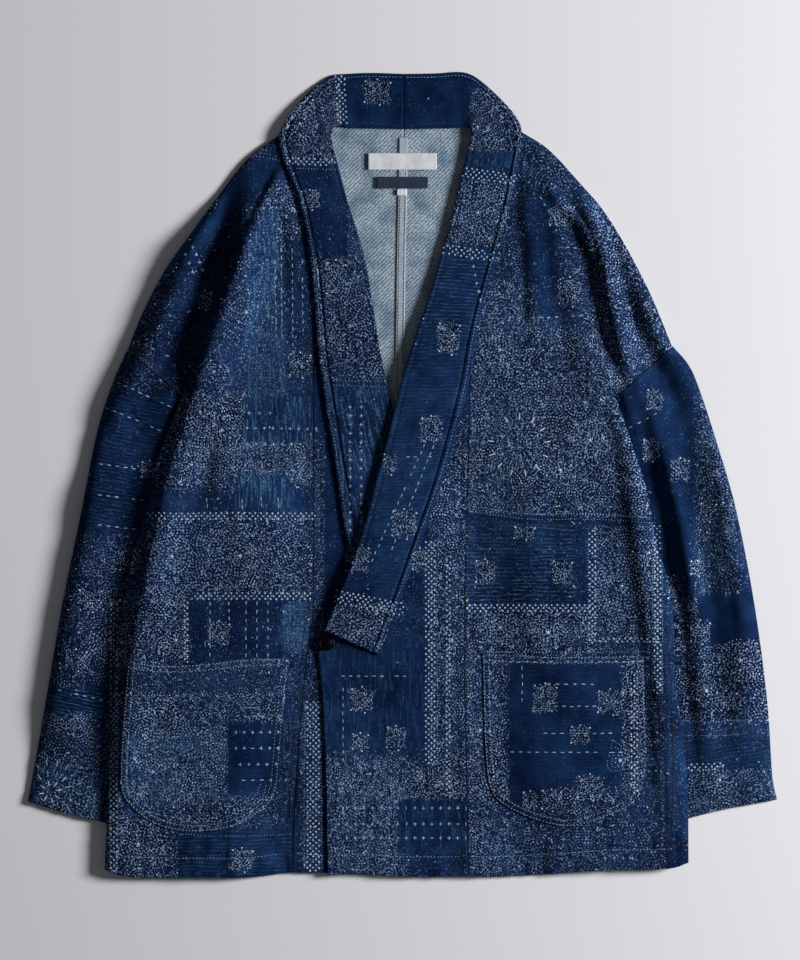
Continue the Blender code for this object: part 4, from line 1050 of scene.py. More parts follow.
def make_sleeve(name, side):
    """A flattened tube, open at armhole and cuff, with its underarm seam hidden below the body."""
    away = 1 if side is RIGHT else -1
    armhole = Path(side.hidden_armhole[::-1], side.armhole[::-1])
    moved = offset_line(armhole.points, away * ARMHOLE_SEAM)
    armhole = Path(np.vstack([moved[:-2:3], moved[-1:]]))
    cuff = Path(side.cuff)
    plan = Panel(bottom=cuff, top=armhole,
                 left=Path([cuff.at(0.0), *side.underarm[-2:0:-1], armhole.at(0.0)]),
                 right=Path([cuff.at(1.0), *side.arm[-2:0:-1], armhole.at(1.0)]))
    arm_line = plan.right.points
    seam_line = smooth_line(side.armhole)
    front_height = right_front_height if side is RIGHT else left_front_height
    layer = np.concatenate([[0.0, 0.012, 0.03], np.linspace(0.03, 1 - 0.03, 52)[1:-1],
                            1 - np.array([0.03, 0.022, 0.015, 0.009, 0.005, 0.002, 0.0])])

    def place(u, v):
        lower = u < 0.5
        across = np.where(lower, u * 2, 2 - u * 2)
        points = plan.at(across, v)
        distance = nearest(points, arm_line)[0]
        round_share = np.sqrt(1 - (1 - np.clip(distance / EDGE_REACH, 0, 1)) ** 2)
        shown = 1 - presence(points, side.hidden_sleeve, 0, SLEEVE_CLEARANCE)
        folds = SLEEVE_GAIN * fold_rise(points, side.folds) + fold_rise(points, side.creases)
        full = INSIDE_AIR + CLOTH + (folds + relief(points) + 0.4) * shown
        seam_gap = nearest(points, seam_line)[0]
        joined = np.exp(-(seam_gap / 30) ** 2) * (1 - presence(points, side.hidden_sleeve, 0, 12))
        front = front_height(points) - BACK_LEVEL
        full += np.where(lower, 0, np.maximum(front - full, 0) * joined)
        height = BACK_LEVEL + full / 2 + np.where(lower, -0.5, 0.5) * full * round_share
        underarm = np.clip(across / layer[1], 0, 1)
        height = np.where(lower, height, height - (1 - underarm) * (full - CLOTH - SEAM))
        return np.column_stack([points, height])

    def chart(u, v, middle):
        """Straight along the sleeve, and on round the arm's fold for the underside."""
        start, end = np.array(side.cuff[-1], dtype=float), np.array(side.arm[1], dtype=float)
        run = (end - start) / np.linalg.norm(end - start)
        away = middle[:, :2] - start
        along = away @ run
        across = away @ np.array([run[1], -run[0]])
        return np.column_stack([np.where(u < 0.5, -across, across), along])

    columns = np.concatenate([layer / 2, 1 - layer[-2::-1] / 2])
    piece = shell(name, columns, spaced(430, FINE * 1.1), place, CLOTH, (INDIGO_CLOTH, INSIDE_CLOTH),
                  LAYOUTS[name], chart)
    keep(piece, name)


COLLAR_EDGES = (0.0, 0.5, 1.3, 2.4, 3.6, 4.8, 5.8, 6.6, 7.3, 8.0, 8.7, 9.4, 10.4, 11.8)


def make_collar(name, sections):
    """A folded band lofted through its sections, with rolled edges and a stitched groove."""
    outer = section_line(sections, (0, 1, 2))
    inner = section_line(sections, (3, 4, 5))
    outer_curve = smooth_line(outer)
    inner_curve = smooth_line(inner)
    steps = np.linalg.norm(np.diff((outer_curve + inner_curve) / 2, axis=0), axis=1)
    steps = np.maximum(steps, 0.35 * np.linalg.norm(np.diff(outer_curve, axis=0), axis=1))
    run = np.concatenate([[0.0], np.cumsum(steps)])
    length = run[-1]
    run = run / length
    width = COLLAR_WIDTH

    def place(u, v):
        near = np.stack([np.interp(v, run, outer_curve[:, axis]) for axis in range(3)], axis=-1)
        far = np.stack([np.interp(v, run, inner_curve[:, axis]) for axis in range(3)], axis=-1)
        points = near + (far - near) * u[:, None]
        points[:, 2] += COLLAR_CROWN * 4 * u * (1 - u)
        return points

    def chart(u, v, middle):
        return np.column_stack([u * width, -v * length])

    columns = spaced(width, 2.4, COLLAR_EDGES)
    piece = shell(name, columns, spaced(length, FINE), place, BAND, (INDIGO_CLOTH, INDIGO_CLOTH),
                  LAYOUTS[name], chart, ease=2.2)
    groove_collar(piece, len(columns), columns * width, width)
    keep(piece, name)


def groove_collar(piece, columns, across, width):
    """Presses a stitched groove into the upper face along the collar's outer edge."""
    count = len(piece.data.vertices) // 2
    points = np.empty(len(piece.data.vertices) * 3)
    piece.data.vertices.foreach_get("co", points)
    points = points.reshape(-1, 3)
    from_outer = np.tile(across, count // columns)
    plan = points[:count, :2] / MM
    dip = 1.2 * np.exp(-((from_outer - COLLAR_GROOVE) / 1.1) ** 2)
    dip = dip + 0.5 * np.exp(-((width - from_outer - 5.0) / 1.2) ** 2)
    dip -= 0.25 * np.exp(-((from_outer - 4.2) / 2.2) ** 2)
    swell = 0.35 * noise(plan, 24, 42, 10, 71) + 0.25 * ridged(plan, 50, 18, -8, 73)
    calm = np.clip(np.minimum(from_outer, width - from_outer) / 8, 0, 1)
    points[:count, 2] += (swell * calm - dip) * MM
    piece.data.vertices.foreach_set("co", points.ravel())
    piece.data.update()


def make_pocket(name, outline, height):
    """A patch pocket that follows the front below it."""
    plan = Panel(Path(outline["bottom"]), Path(outline["top"]), Path(outline["left"]), Path(outline["right"]))
    sewn = Path([*outline["left"][::-1], *outline["bottom"][1:-1], *outline["right"]]).points

    def place(u, v):
        points = plan.at(u, v)
        distance = nearest(points, sewn)[0]
        lift = 1.2 + 1.2 * soft_step(distance / 6) + 1.3 * soft_step((distance - 12) / 24)
        mouth = nearest(points, plan.top.points)[0]
        swell = 0.9 * noise(points, 52, 46, 20, 61) * soft_step((distance - 8) / 24)
        grooves = 0.5 * np.exp(-((distance - 2.8) / 1.2) ** 2)
        grooves = grooves + 0.6 * np.exp(-((distance - POCKET_GROOVE) / 1.3) ** 2)
        grooves += 0.6 * np.exp(-((mouth - 7.5) / 1.3) ** 2) * (distance > 4)
        raised = height(points) + lift + np.maximum(swell, -0.5) - np.minimum(grooves, 0.5)
        return np.column_stack([points, raised])

    piece = shell(name, spaced(160, FINE), spaced(165, FINE), place, CLOTH, (INDIGO_CLOTH, INSIDE_CLOTH),
                  LAYOUTS[name])
    keep(piece, name)


def make_tape():
    """The strip that covers the centre-back seam inside."""
    seam = Path(BACK_SEAM)

    def place(u, v):
        points = seam.at(0.015 + v * 0.97)
        points[:, 0] += (u - 0.5) * TAPE_WIDTH
        height = CLOTH + SEAM + TRIM / 2 + 0.18 * noise(points, 16, 9, 0, 91)
        return np.column_stack([points, height])

    piece = shell("back_seam_tape", spaced(TAPE_WIDTH, 1.2, (0.0, 0.3, 0.8, 1.4)), spaced(738, 4.0), place,
                  TRIM, (TAPE_CLOTH, TAPE_CLOTH), LAYOUTS["none"], ease=0.8)
    keep(piece, "back_seam_tape")


def make_label(name, label, level, finish):
    """A small woven piece sewn down flat, with folded ends that lift a little."""
    width, depth = label["size"]
    x, y = label["centre"]

    def place(u, v):
        points = np.column_stack([x + (u - 0.5) * width, y + (v - 0.5) * depth])
        lift = 0.22 * np.cos(u * 2 * np.pi * 2.5) * np.sin(np.pi * v) + 0.12 * noise(points, 9, 6, 0, 97)
        return np.column_stack([points, level + TRIM / 2 + lift])

    piece = shell(name, spaced(width, 1.2, (0.0, 0.3, 0.7)), spaced(depth, 1.0, (0.0, 0.3, 0.7)), place, TRIM,
                  (finish, finish), LAYOUTS["none"], ease=0.6)
    keep(piece, name)


make_backs()
make_fronts()
make_overlaps()
make_sleeve("sleeve_right", RIGHT)
make_sleeve("sleeve_left", LEFT)
make_collar("collar_right", COLLAR_RIGHT)
make_collar("collar_left", COLLAR_LEFT)
make_pocket("pocket_right", POCKET_RIGHT, right_front_height)
make_pocket("pocket_left", POCKET_LEFT, left_front_height)
make_tape()
make_label("neck_label", NECK_LABEL, CLOTH + 2 * SEAM + TRIM, WHITE_CLOTH)
make_label("small_label", SMALL_LABEL, CLOTH + 2 * SEAM + TRIM, NAVY_CLOTH)
make_label("size_tab", SIZE_TAB, CLOTH + 2 * SEAM + TRIM, WHITE_CLOTH)


def thread(name, dark, light, sheen):
    """Twisted cotton thread, uneven in colour from stitch to stitch."""
    f = Finish(name, 0.7, sheen=sheen)
    place = put(f.tree, "TexCoord").outputs["Object"]
    mm = put(f.tree, "VectorMath", {0: place, 1: (1000, 1000, 1000)}, operation="MULTIPLY").outputs[0]
    cloud = put(f.tree, "TexNoise", {"Vector": mm, "Scale": 0.11, "Detail": 3.0}).outputs["Fac"]
    ply = put(f.tree, "TexNoise", {"Vector": mm, "Scale": 2.4, "Detail": 1.0}).outputs["Fac"]
    colour = f.mix(f.step(cloud, 0.3, 0.7), dark, light)
    return f.finish(colour, f.sum("MULTIPLY_ADD", ply, 0.25, 0.6), ply, 0.12)


PALE_STITCH = thread("pale_thread", (0.10, 0.18, 0.32, 1.0), (0.34, 0.47, 0.66, 1.0), 0.1)
WHITE_STITCH = thread("white_thread", (0.36, 0.44, 0.52, 1.0), (0.68, 0.73, 0.76, 1.0), 0.1)
NAVY_STITCH = thread("navy_thread", (0.010, 0.022, 0.055, 1.0), (0.040, 0.075, 0.145, 1.0), 0.1)
# Near-black thread: groove() lays it along seams, pocket edges and hems as painted shade of their grooves; it
# also draws the back tape's two stitched lines.
DARK_THREAD_AND_SEAM_SHADE = thread("dark_thread_and_seam_shade", (0.003, 0.004, 0.010, 1.0), (0.008, 0.012, 0.026, 1.0), 0.05)
LIGHT_STITCH = thread("light_thread", (0.20, 0.31, 0.47, 1.0), (0.42, 0.54, 0.70, 1.0), 0.1)
STITCH_FINISHES = (PALE_STITCH, WHITE_STITCH, NAVY_STITCH, DARK_THREAD_AND_SEAM_SHADE, LIGHT_STITCH)
PALE, WHITE, NAVY, DARK, LIGHT = range(5)


def surface_tree():
    """All the shown cloth in one search tree, and the piece that each face belongs to."""
    points, faces, owners = [], [], []
    for node, piece in PIECES.items():
        first = len(points)
        points.extend(vertex.co for vertex in piece.data.vertices)
        faces.extend([first + corner for corner in polygon.vertices] for polygon in piece.data.polygons)
        owners.extend([node] * len(piece.data.polygons))
    return BVHTree.FromPolygons(points, faces), owners


TREE, OWNERS = surface_tree()
STITCHES = {node: [] for node in PIECES}
STITCH_PIECES = {}
CHANCE = np.random.default_rng(5)


def drop(points):
    """Height of the cloth's top under plan points, and the piece that each one lies on."""
    heights = np.full(len(points), np.nan)
    owners = [None] * len(points)
    for number, (x, y) in enumerate(points):
        hit, _, face, _ = TREE.ray_cast(Vector((x * MM, y * MM, 0.2)), Vector((0, 0, -1)))
        if hit is not None:
            heights[number] = hit.z / MM
            owners[number] = OWNERS[face]
    return heights, owners


def stitch(starts, ends, width, rise, colour, only=None, kept=1.0):
    """Low rounded stitches between pairs of plan points, each on the piece below its middle."""
    starts, ends = np.atleast_2d(starts).astype(float), np.atleast_2d(ends).astype(float)
    stay = CHANCE.random(len(starts)) < kept
    starts, ends = starts[stay], ends[stay]
    if not len(starts):
        return
    shift = CHANCE.normal(0, 0.14, (len(starts), 2))
    starts, ends = starts + shift, ends + shift + CHANCE.normal(0, 0.10, (len(starts), 2))
    low, owners = drop((starts + ends) / 2)
    from_height, from_owner = drop(starts)
    to_height, to_owner = drop(ends)
    run = ends - starts
    side = np.column_stack([-run[:, 1], run[:, 0]])
    side /= np.maximum(np.linalg.norm(side, axis=1, keepdims=True), 1e-6)
    for i, owner in enumerate(owners):
        if owner is None or from_owner[i] != owner or to_owner[i] != owner or (only and owner not in only):
            continue
        a = np.array([*starts[i], from_height[i]])
        b = np.array([*ends[i], to_height[i]])
        bow = low[i] - (a[2] + b[2]) / 2
        across = np.array([*side[i] * width / 2, 0])
        near = a + (b - a) * 0.24 + (0, 0, bow * 0.75)
        far = a + (b - a) * 0.76 + (0, 0, bow * 0.75)
        down = np.array([0, 0, 0.12])
        up = np.array([0, 0, rise])
        STITCHES[owner].append((colour, [a - down, b - down, near + across - down, far + across - down,
                                         near - across - down, far - across - down, near + up, far + up]))


STITCH_FACES = [(0, 4, 6), (0, 6, 2), (2, 6, 7, 3), (4, 5, 7, 6), (3, 7, 1), (7, 5, 1)]


def sew():
    """Joins the stitches of each piece into one mesh that goes with it."""
    for node, made in STITCHES.items():
        if not made:
            continue
        points = np.concatenate([corners for _, corners in made])
        faces = [[8 * number + corner for corner in face]
                 for number in range(len(made)) for face in STITCH_FACES]
        colours = np.repeat([colour for colour, _ in made], len(STITCH_FACES)).astype(np.int32)
        mesh = bpy.data.meshes.new(node + "_stitches")
        mesh.from_pydata((points * MM).tolist(), [], faces)
        for finish in STITCH_FINISHES:
            mesh.materials.append(finish)
        mesh.polygons.foreach_set("material_index", colours)
        mesh.shade_smooth()
        piece = bpy.data.objects.new(node + "_stitches", mesh)
        bpy.context.scene.collection.objects.link(piece)
        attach(piece, "root")
        STITCH_PIECES[node] = piece


def dots(points, size=1.5, rise=0.28, colour=PALE, kept=0.94, only=None):
    """Small woven knots, each a little uneven."""
    points = np.atleast_2d(points)
    if not len(points):
        return
    lean = CHANCE.normal(0.8, 0.25, len(points))
    half = np.column_stack([np.cos(lean), np.sin(lean)]) * size * 0.5
    stitch(points - half, points + half, size, rise, colour, only, kept)


def row_points(start, end, pitch):
    start, end = np.array(start, dtype=float), np.array(end, dtype=float)
    count = max(2, round(np.linalg.norm(end - start) / pitch) + 1)
    return start + np.linspace(0, 1, count)[:, None] * (end - start)


def dash_row(x0, y0, x1, y1, pitch=8.2, length=4.9, width=1.05, colour=LIGHT, kept=0.95):
    """A running stitch between two points of the photograph."""
    start, end = to_plan([(x0, y0), (x1, y1)])
    middles = row_points(start, end, pitch)
    half = (end - start) / np.linalg.norm(end - start) * length / 2
    stitch(middles - half, middles + half, width, 0.34, colour, kept=kept)


def cross_row(x0, y0, x1, y1, pitch=8.8, size=4.6):
    start, end = to_plan([(x0, y0), (x1, y1)])
    middles = row_points(start, end, pitch)
    flat, tall = np.array([size / 2, 0]), np.array([0, size / 2])
    stitch(middles - flat, middles + flat, 0.95, 0.28, LIGHT, kept=0.96)
    stitch(middles - tall, middles + tall, 0.95, 0.36, LIGHT, kept=0.96)


def diamond_band(x0, y0, x1, y1, rows=3, pitch=5.7, gap=2.9, only=None):
    """Staggered rows of small diamonds along a line of the photograph."""
    start, end = to_plan([(x0, y0), (x1, y1)])
    run = (end - start) / np.linalg.norm(end - start)
    side = np.array([-run[1], run[0]])
    for number in range(rows):
        move = side * (number - (rows - 1) / 2) * gap + run * (number % 2) * pitch / 2
        dots(row_points(start + move, end + move, pitch), 2.3, 0.34, LIGHT, kept=0.95, only=only)


def dotted(line, pitch=2.9, size=1.15, kept=0.9):
    """A fine dotted line through points of the photograph."""
    path = Path(to_plan(line))
    count = max(2, round(path.length / pitch))
    dots(path.at(np.linspace(0, 1, count)), size, 0.22, kept=kept)


def oval(x, y, wide, high, turn=0.0, open_share=1.0, steps=25):
    """Points of the photograph round a turned oval, or along part of one."""
    angle = np.linspace(0, 2 * np.pi * open_share, steps)
    across, down = wide * np.cos(angle), high * np.sin(angle)
    cosine, sine = np.cos(np.radians(turn)), np.sin(np.radians(turn))
    return np.column_stack([x + across * cosine - down * sine, y + across * sine + down * cosine])


def drop_shape(x, y, size, turn):
    """Points of the photograph round a curled drop, a common ornament on such cloth."""
    angle = np.linspace(0, 2 * np.pi, 30)
    across = size * 0.5 * np.sin(angle) * (1 - 0.75 * np.cos(angle)) * 0.75
    down = -size * 0.62 * np.cos(angle) - size * 0.2 * (1 - np.cos(angle)) ** 2 * 0.4
    across = across + size * 0.16 * np.clip(-np.cos(angle), 0, 1) ** 2
    cosine, sine = np.cos(np.radians(turn)), np.sin(np.radians(turn))
    return np.column_stack([x + across * cosine - down * sine, y + across * sine + down * cosine])


def cluster(x, y, wide, high):
    """Raised knots over a small four-cornered motif, petals in its corners and brighter knots at its ends."""
    span = int(max(wide, high) / 4 + 2)
    i, j = (grid.ravel() for grid in np.meshgrid(np.arange(-span, span + 1), np.arange(-span, span + 1)))
    points = np.column_stack([(i + j) * 2.3, (i - j) * 2.3])
    points = points[cluster_reach(points, wide, high) < 1.05]
    dots(to_plan(points + (x, y)), 1.35, 0.26, PALE, kept=0.40)
    for turn in (35, 145, 215, 325):
        across, down = wide * 0.30 * np.cos(np.radians(turn)), high * 0.34 * np.sin(np.radians(turn))
        dotted(oval(x + across, y + down, wide * 0.15, high * 0.19, turn, 0.85), 2.2, 1.1)
    bright = np.array([(0, -high * 0.5), (wide * 0.1, high * 0.5), (-wide * 0.42, high * 0.38),
                       (wide * 0.44, -high * 0.36), (-wide * 0.38, -high * 0.42)])
    dots(to_plan(bright + (x, y)), 2.0, 0.42, WHITE, kept=0.7)


def rosette(x, y, outer, pitch=3.7):
    """Dots in rings about a point of the photograph."""
    for radius in np.arange(pitch * 0.6, outer, pitch):
        count = max(5, round(2 * np.pi * radius / 3.9))
        angle = np.linspace(0, 2 * np.pi, count, endpoint=False) + radius
        dots(to_plan(np.column_stack([x + radius * np.cos(angle), y + radius * np.sin(angle)])), 1.5, 0.28,
             kept=0.86)
    dots(to_plan([(x, y)]), 2.6, 0.45, WHITE)


def sunburst(x, y, rings):
    """Short stitches pointing out from a centre, in rings of their own radius, count and length."""
    centre = to_plan([(x, y)])
    for radius, count, length, width, colour in rings:
        angle = np.linspace(0, 2 * np.pi, count, endpoint=False) + radius * 0.37
        out = np.column_stack([np.cos(angle), np.sin(angle)])
        stitch(centre + out * (radius - length / 2), centre + out * (radius + length / 2), width, 0.36,
               colour, kept=0.95)


def scallops(x0, x1, y, count, high):
    """A cloud edge of small dotted arches."""
    wide = (x1 - x0) / count
    for number in range(count):
        middle = x0 + (number + 0.5) * wide
        angle = np.linspace(np.pi, 2 * np.pi, 9)
        dotted(np.column_stack([middle + wide * 0.5 * np.cos(angle), y + high * np.sin(angle)]), 2.5, 1.1)


def topstitch(line, offset, pitch=3.5, length=2.4, colour=NAVY, width=0.75, only=None, sink=0.2):
    """A machine-stitched line beside a plan line, to the left of its run."""
    path = Path(offset_line(smooth_line(line), offset)[::3])
    middles = path.at(np.arange(pitch, path.length - pitch, pitch) / path.length)
    ahead = path.at((np.arange(pitch, path.length - pitch, pitch) + 0.5) / path.length)
    run = ahead - middles
    run /= np.maximum(np.linalg.norm(run, axis=1, keepdims=True), 1e-6)
    stitch(middles - run * length / 2, middles + run * length / 2, width, sink, colour, only)


# Ornaments of the cloth, placed in photo pixels
DIAMOND_BANDS = [
    (148, 516, 312, 516, 3), (192, 596, 310, 596, 3), (186, 600, 186, 659, 2), (114, 604, 114, 868, 3),
    (313, 702, 313, 868, 5), (287, 161, 343, 163, 3), (340, 76, 342, 120, 4), (463, 172, 511, 179, 4),
    (444, 249, 496, 257, 4), (336, 596, 400, 609, 5), (464, 608, 590, 608, 3), (592, 528, 592, 640, 3),
    (657, 526, 657, 690, 3), (430, 542, 430, 760, 4), (686, 768, 720, 766, 3), (600, 640, 655, 640, 2),
    (120, 694, 128, 694, 2), (634, 672, 634, 790, 3), (448, 560, 448, 790, 2),
]
CROSS_ROWS = [
    (249, 413, 270, 413), (247, 428, 316, 429), (247, 444, 300, 444), (190, 240, 203, 270),
    (182, 246, 193, 272), (350, 407, 350, 530), (361, 407, 361, 530), (236, 732, 278, 732),
    (236, 748, 278, 748), (240, 764, 276, 764), (338, 808, 466, 808), (338, 824, 466, 824),
    (338, 838, 466, 838), (605, 858, 632, 858), (470, 250, 480, 300),
]
DASH_ROWS = [
    (275, 262, 276, 336), (281, 250, 282, 336), (292, 250, 293, 352), (302, 262, 303, 330),
    (119, 383, 169, 406), (107, 408, 159, 430), (101, 464, 150, 471), (100, 495, 150, 501),
    (100, 525, 134, 529), (237, 716, 279, 716), (244, 780, 271, 780), (408, 457, 437, 457),
    (533, 318, 580, 316), (541, 198, 556, 224), (548, 684, 592, 684), (556, 706, 594, 706),
    (545, 733, 610, 733), (512, 752, 620, 752), (522, 668, 522, 700), (210, 603, 210, 655),
    (229, 603, 229, 618), (246, 603, 246, 655), (257, 603, 257, 655), (268, 603, 268, 655),
    (631, 427, 655, 414), (424, 446, 372, 560), (436, 440, 392, 548), (131, 338, 168, 356),
    (560, 246, 590, 250), (486, 662, 640, 661), (150, 812, 196, 822), (343, 676, 412, 676),
    (343, 690, 343, 760), (610, 470, 650, 492), (60, 690, 118, 704),
]
SHORT_UPRIGHTS = [(207, 503), (242, 504), (261, 502), (278, 503), (318, 268), (318, 282)]
DOTTED_LINES = [
    [(467, 506), (530, 514), (590, 514), (655, 518)], [(467, 511), (530, 519), (590, 519), (655, 523)],
    [(226, 335), (239, 346), (253, 352), (268, 350), (279, 343)],
    [(231, 331), (241, 340), (254, 346), (266, 345), (275, 338)],
    [(249, 152), (262, 153), (279, 156)], [(247, 156), (262, 157), (279, 160)],
    [(288, 168), (316, 169), (344, 170)],
    [(325, 380), (356, 381), (388, 382)], [(325, 385), (356, 386), (388, 387)],
    [(226, 812), (248, 808), (262, 798), (266, 786)], [(226, 806), (244, 803), (256, 794), (260, 784)],
    [(118, 600), (118, 700), (118, 868)], [(110, 600), (110, 700), (110, 868)],
    [(305, 702), (304, 800), (304, 868)], [(321, 702), (321, 800), (322, 868)],
    [(436, 560), (437, 660), (438, 770)], [(588, 528), (588, 600), (588, 640)],
    [(662, 526), (662, 600), (662, 690)],
    [(652, 526), (652, 600), (652, 690)], [(104, 770), (66, 764), (34, 748)],
    [(104, 775), (66, 769), (34, 753)],
    [(690, 722), (730, 721), (768, 716)], [(690, 736), (730, 735), (770, 729)],
    [(180, 834), (230, 836), (296, 834)], [(470, 652), (530, 652), (650, 652)],
]
ROSETTES = [
    (138, 844, 26), (240, 556, 32), (172, 556, 24), (478, 213, 30), (622, 586, 32), (362, 632, 16),
    (500, 628, 18), (548, 632, 20), (452, 640, 14), (300, 124, 18), (160, 720, 22), (70, 800, 26),
    (110, 640, 22), (200, 200, 18), (560, 160, 18), (640, 250, 20), (590, 440, 22), (494, 790, 14),
    (740, 660, 22), (720, 780, 16), (500, 350, 20),
]
DROPS = [(246, 312, 60, 18), (214, 372, 38, 10), (222, 430, 34, -30), (560, 470, 44, 40), (176, 640, 34, 10),
         (620, 760, 34, -20),
         (120, 600, 36, 24), (706, 690, 34, -16), (480, 730, 34, 12), (330, 340, 30, 30), (620, 208, 30, -40)]
LOOP_ROWS = [(240, 312, 472, 5, 11), (338, 462, 782, 8, 12), (196, 246, 452, 3, 9), (484, 580, 628, 6, 9),
             (40, 92, 726, 4, 9), (150, 186, 600, 3, 8)]
SCALLOP_ROWS = [(132, 276, 702, 9, 8), (340, 462, 800, 10, 6), (150, 310, 590, 12, 5), (470, 585, 660, 8, 5)]
SUNBURSTS = [
    (519, 445, [(11, 16, 6, 0.8, PALE), (20, 20, 7, 0.9, PALE), (29, 13, 8.5, 1.5, WHITE),
                (37, 26, 5, 0.8, PALE)]),
    (50, 792, [(9, 8, 7, 1.5, WHITE), (19, 13, 9, 1.6, PALE), (30, 18, 8, 1.3, PALE),
               (40, 24, 5, 1.0, PALE)]),
]
SPARK_PITCH = 16.0


def ornament():
    for x0, y0, x1, y1, rows in DIAMOND_BANDS:
        diamond_band(x0, y0, x1, y1, rows)
    for ends in CROSS_ROWS:
        cross_row(*ends)
    for ends in DASH_ROWS:
        dash_row(*ends)
    for x, y in SHORT_UPRIGHTS:
        dash_row(x, y - 3, x + 0.5, y + 3, 20, 6)
    for line in DOTTED_LINES:
        dotted(line)
    for place in CLUSTERS:
        cluster(*place)
    for place in ROSETTES:
        rosette(*place)
    for x, y, size, turn in DROPS:
        dotted(drop_shape(x, y, size, turn), 2.6)
        dotted(drop_shape(x, y, size * 0.66, turn), 2.8)
        rosette(x, y, size * 0.2, 3.2)
    for x0, x1, y, count, high in LOOP_ROWS:
        for number in range(count):
            x = x0 + (number + 0.5) * (x1 - x0) / count
            turn = 25 * (-1) ** number
            dotted(oval(x, y, (x1 - x0) / count * 0.34, high, turn, 0.9), 2.5)
            dotted(oval(x, y, (x1 - x0) / count * 0.16, high * 0.5, turn), 2.3)
    for place in SCALLOP_ROWS:
        scallops(*place)
    for place in SUNBURSTS:
        sunburst(*place)


def sparks():
    """Brighter knots scattered over the speckled grounds."""
    across, up = np.arange(-380, 380, SPARK_PITCH), np.arange(-405, 405, SPARK_PITCH)
    points = np.array([(x, y) for x in across for y in up])
    points += CHANCE.uniform(-0.5, 0.5, points.shape) * SPARK_PITCH
    owners = np.array([owner or "" for owner in drop(points)[1]])
    for node in STITCHES:
        here = points[owners == node]
        if node in ("back_right", "back_left", "back_seam_tape", "neck_label", "small_label",
                    "size_tab") or not len(here):
            continue
        density = pattern_weights(here, LAYOUTS[node])["speckle"]
        here = here[CHANCE.random(len(here)) < density * 0.8]
        dots(here, 1.7, 0.4, LIGHT, kept=1.0)
        dots(here + CHANCE.normal(0, 3.0, here.shape), 1.5, 0.3, WHITE, kept=0.22)


def groove(line, offset, only, width=1.5):
    """Near-black stitches along a seam: painted shade of the seam's groove, laid over its sewn line."""
    topstitch(line, offset, pitch=3.2, length=3.6, colour=DARK, width=width, only=only, sink=0.12)


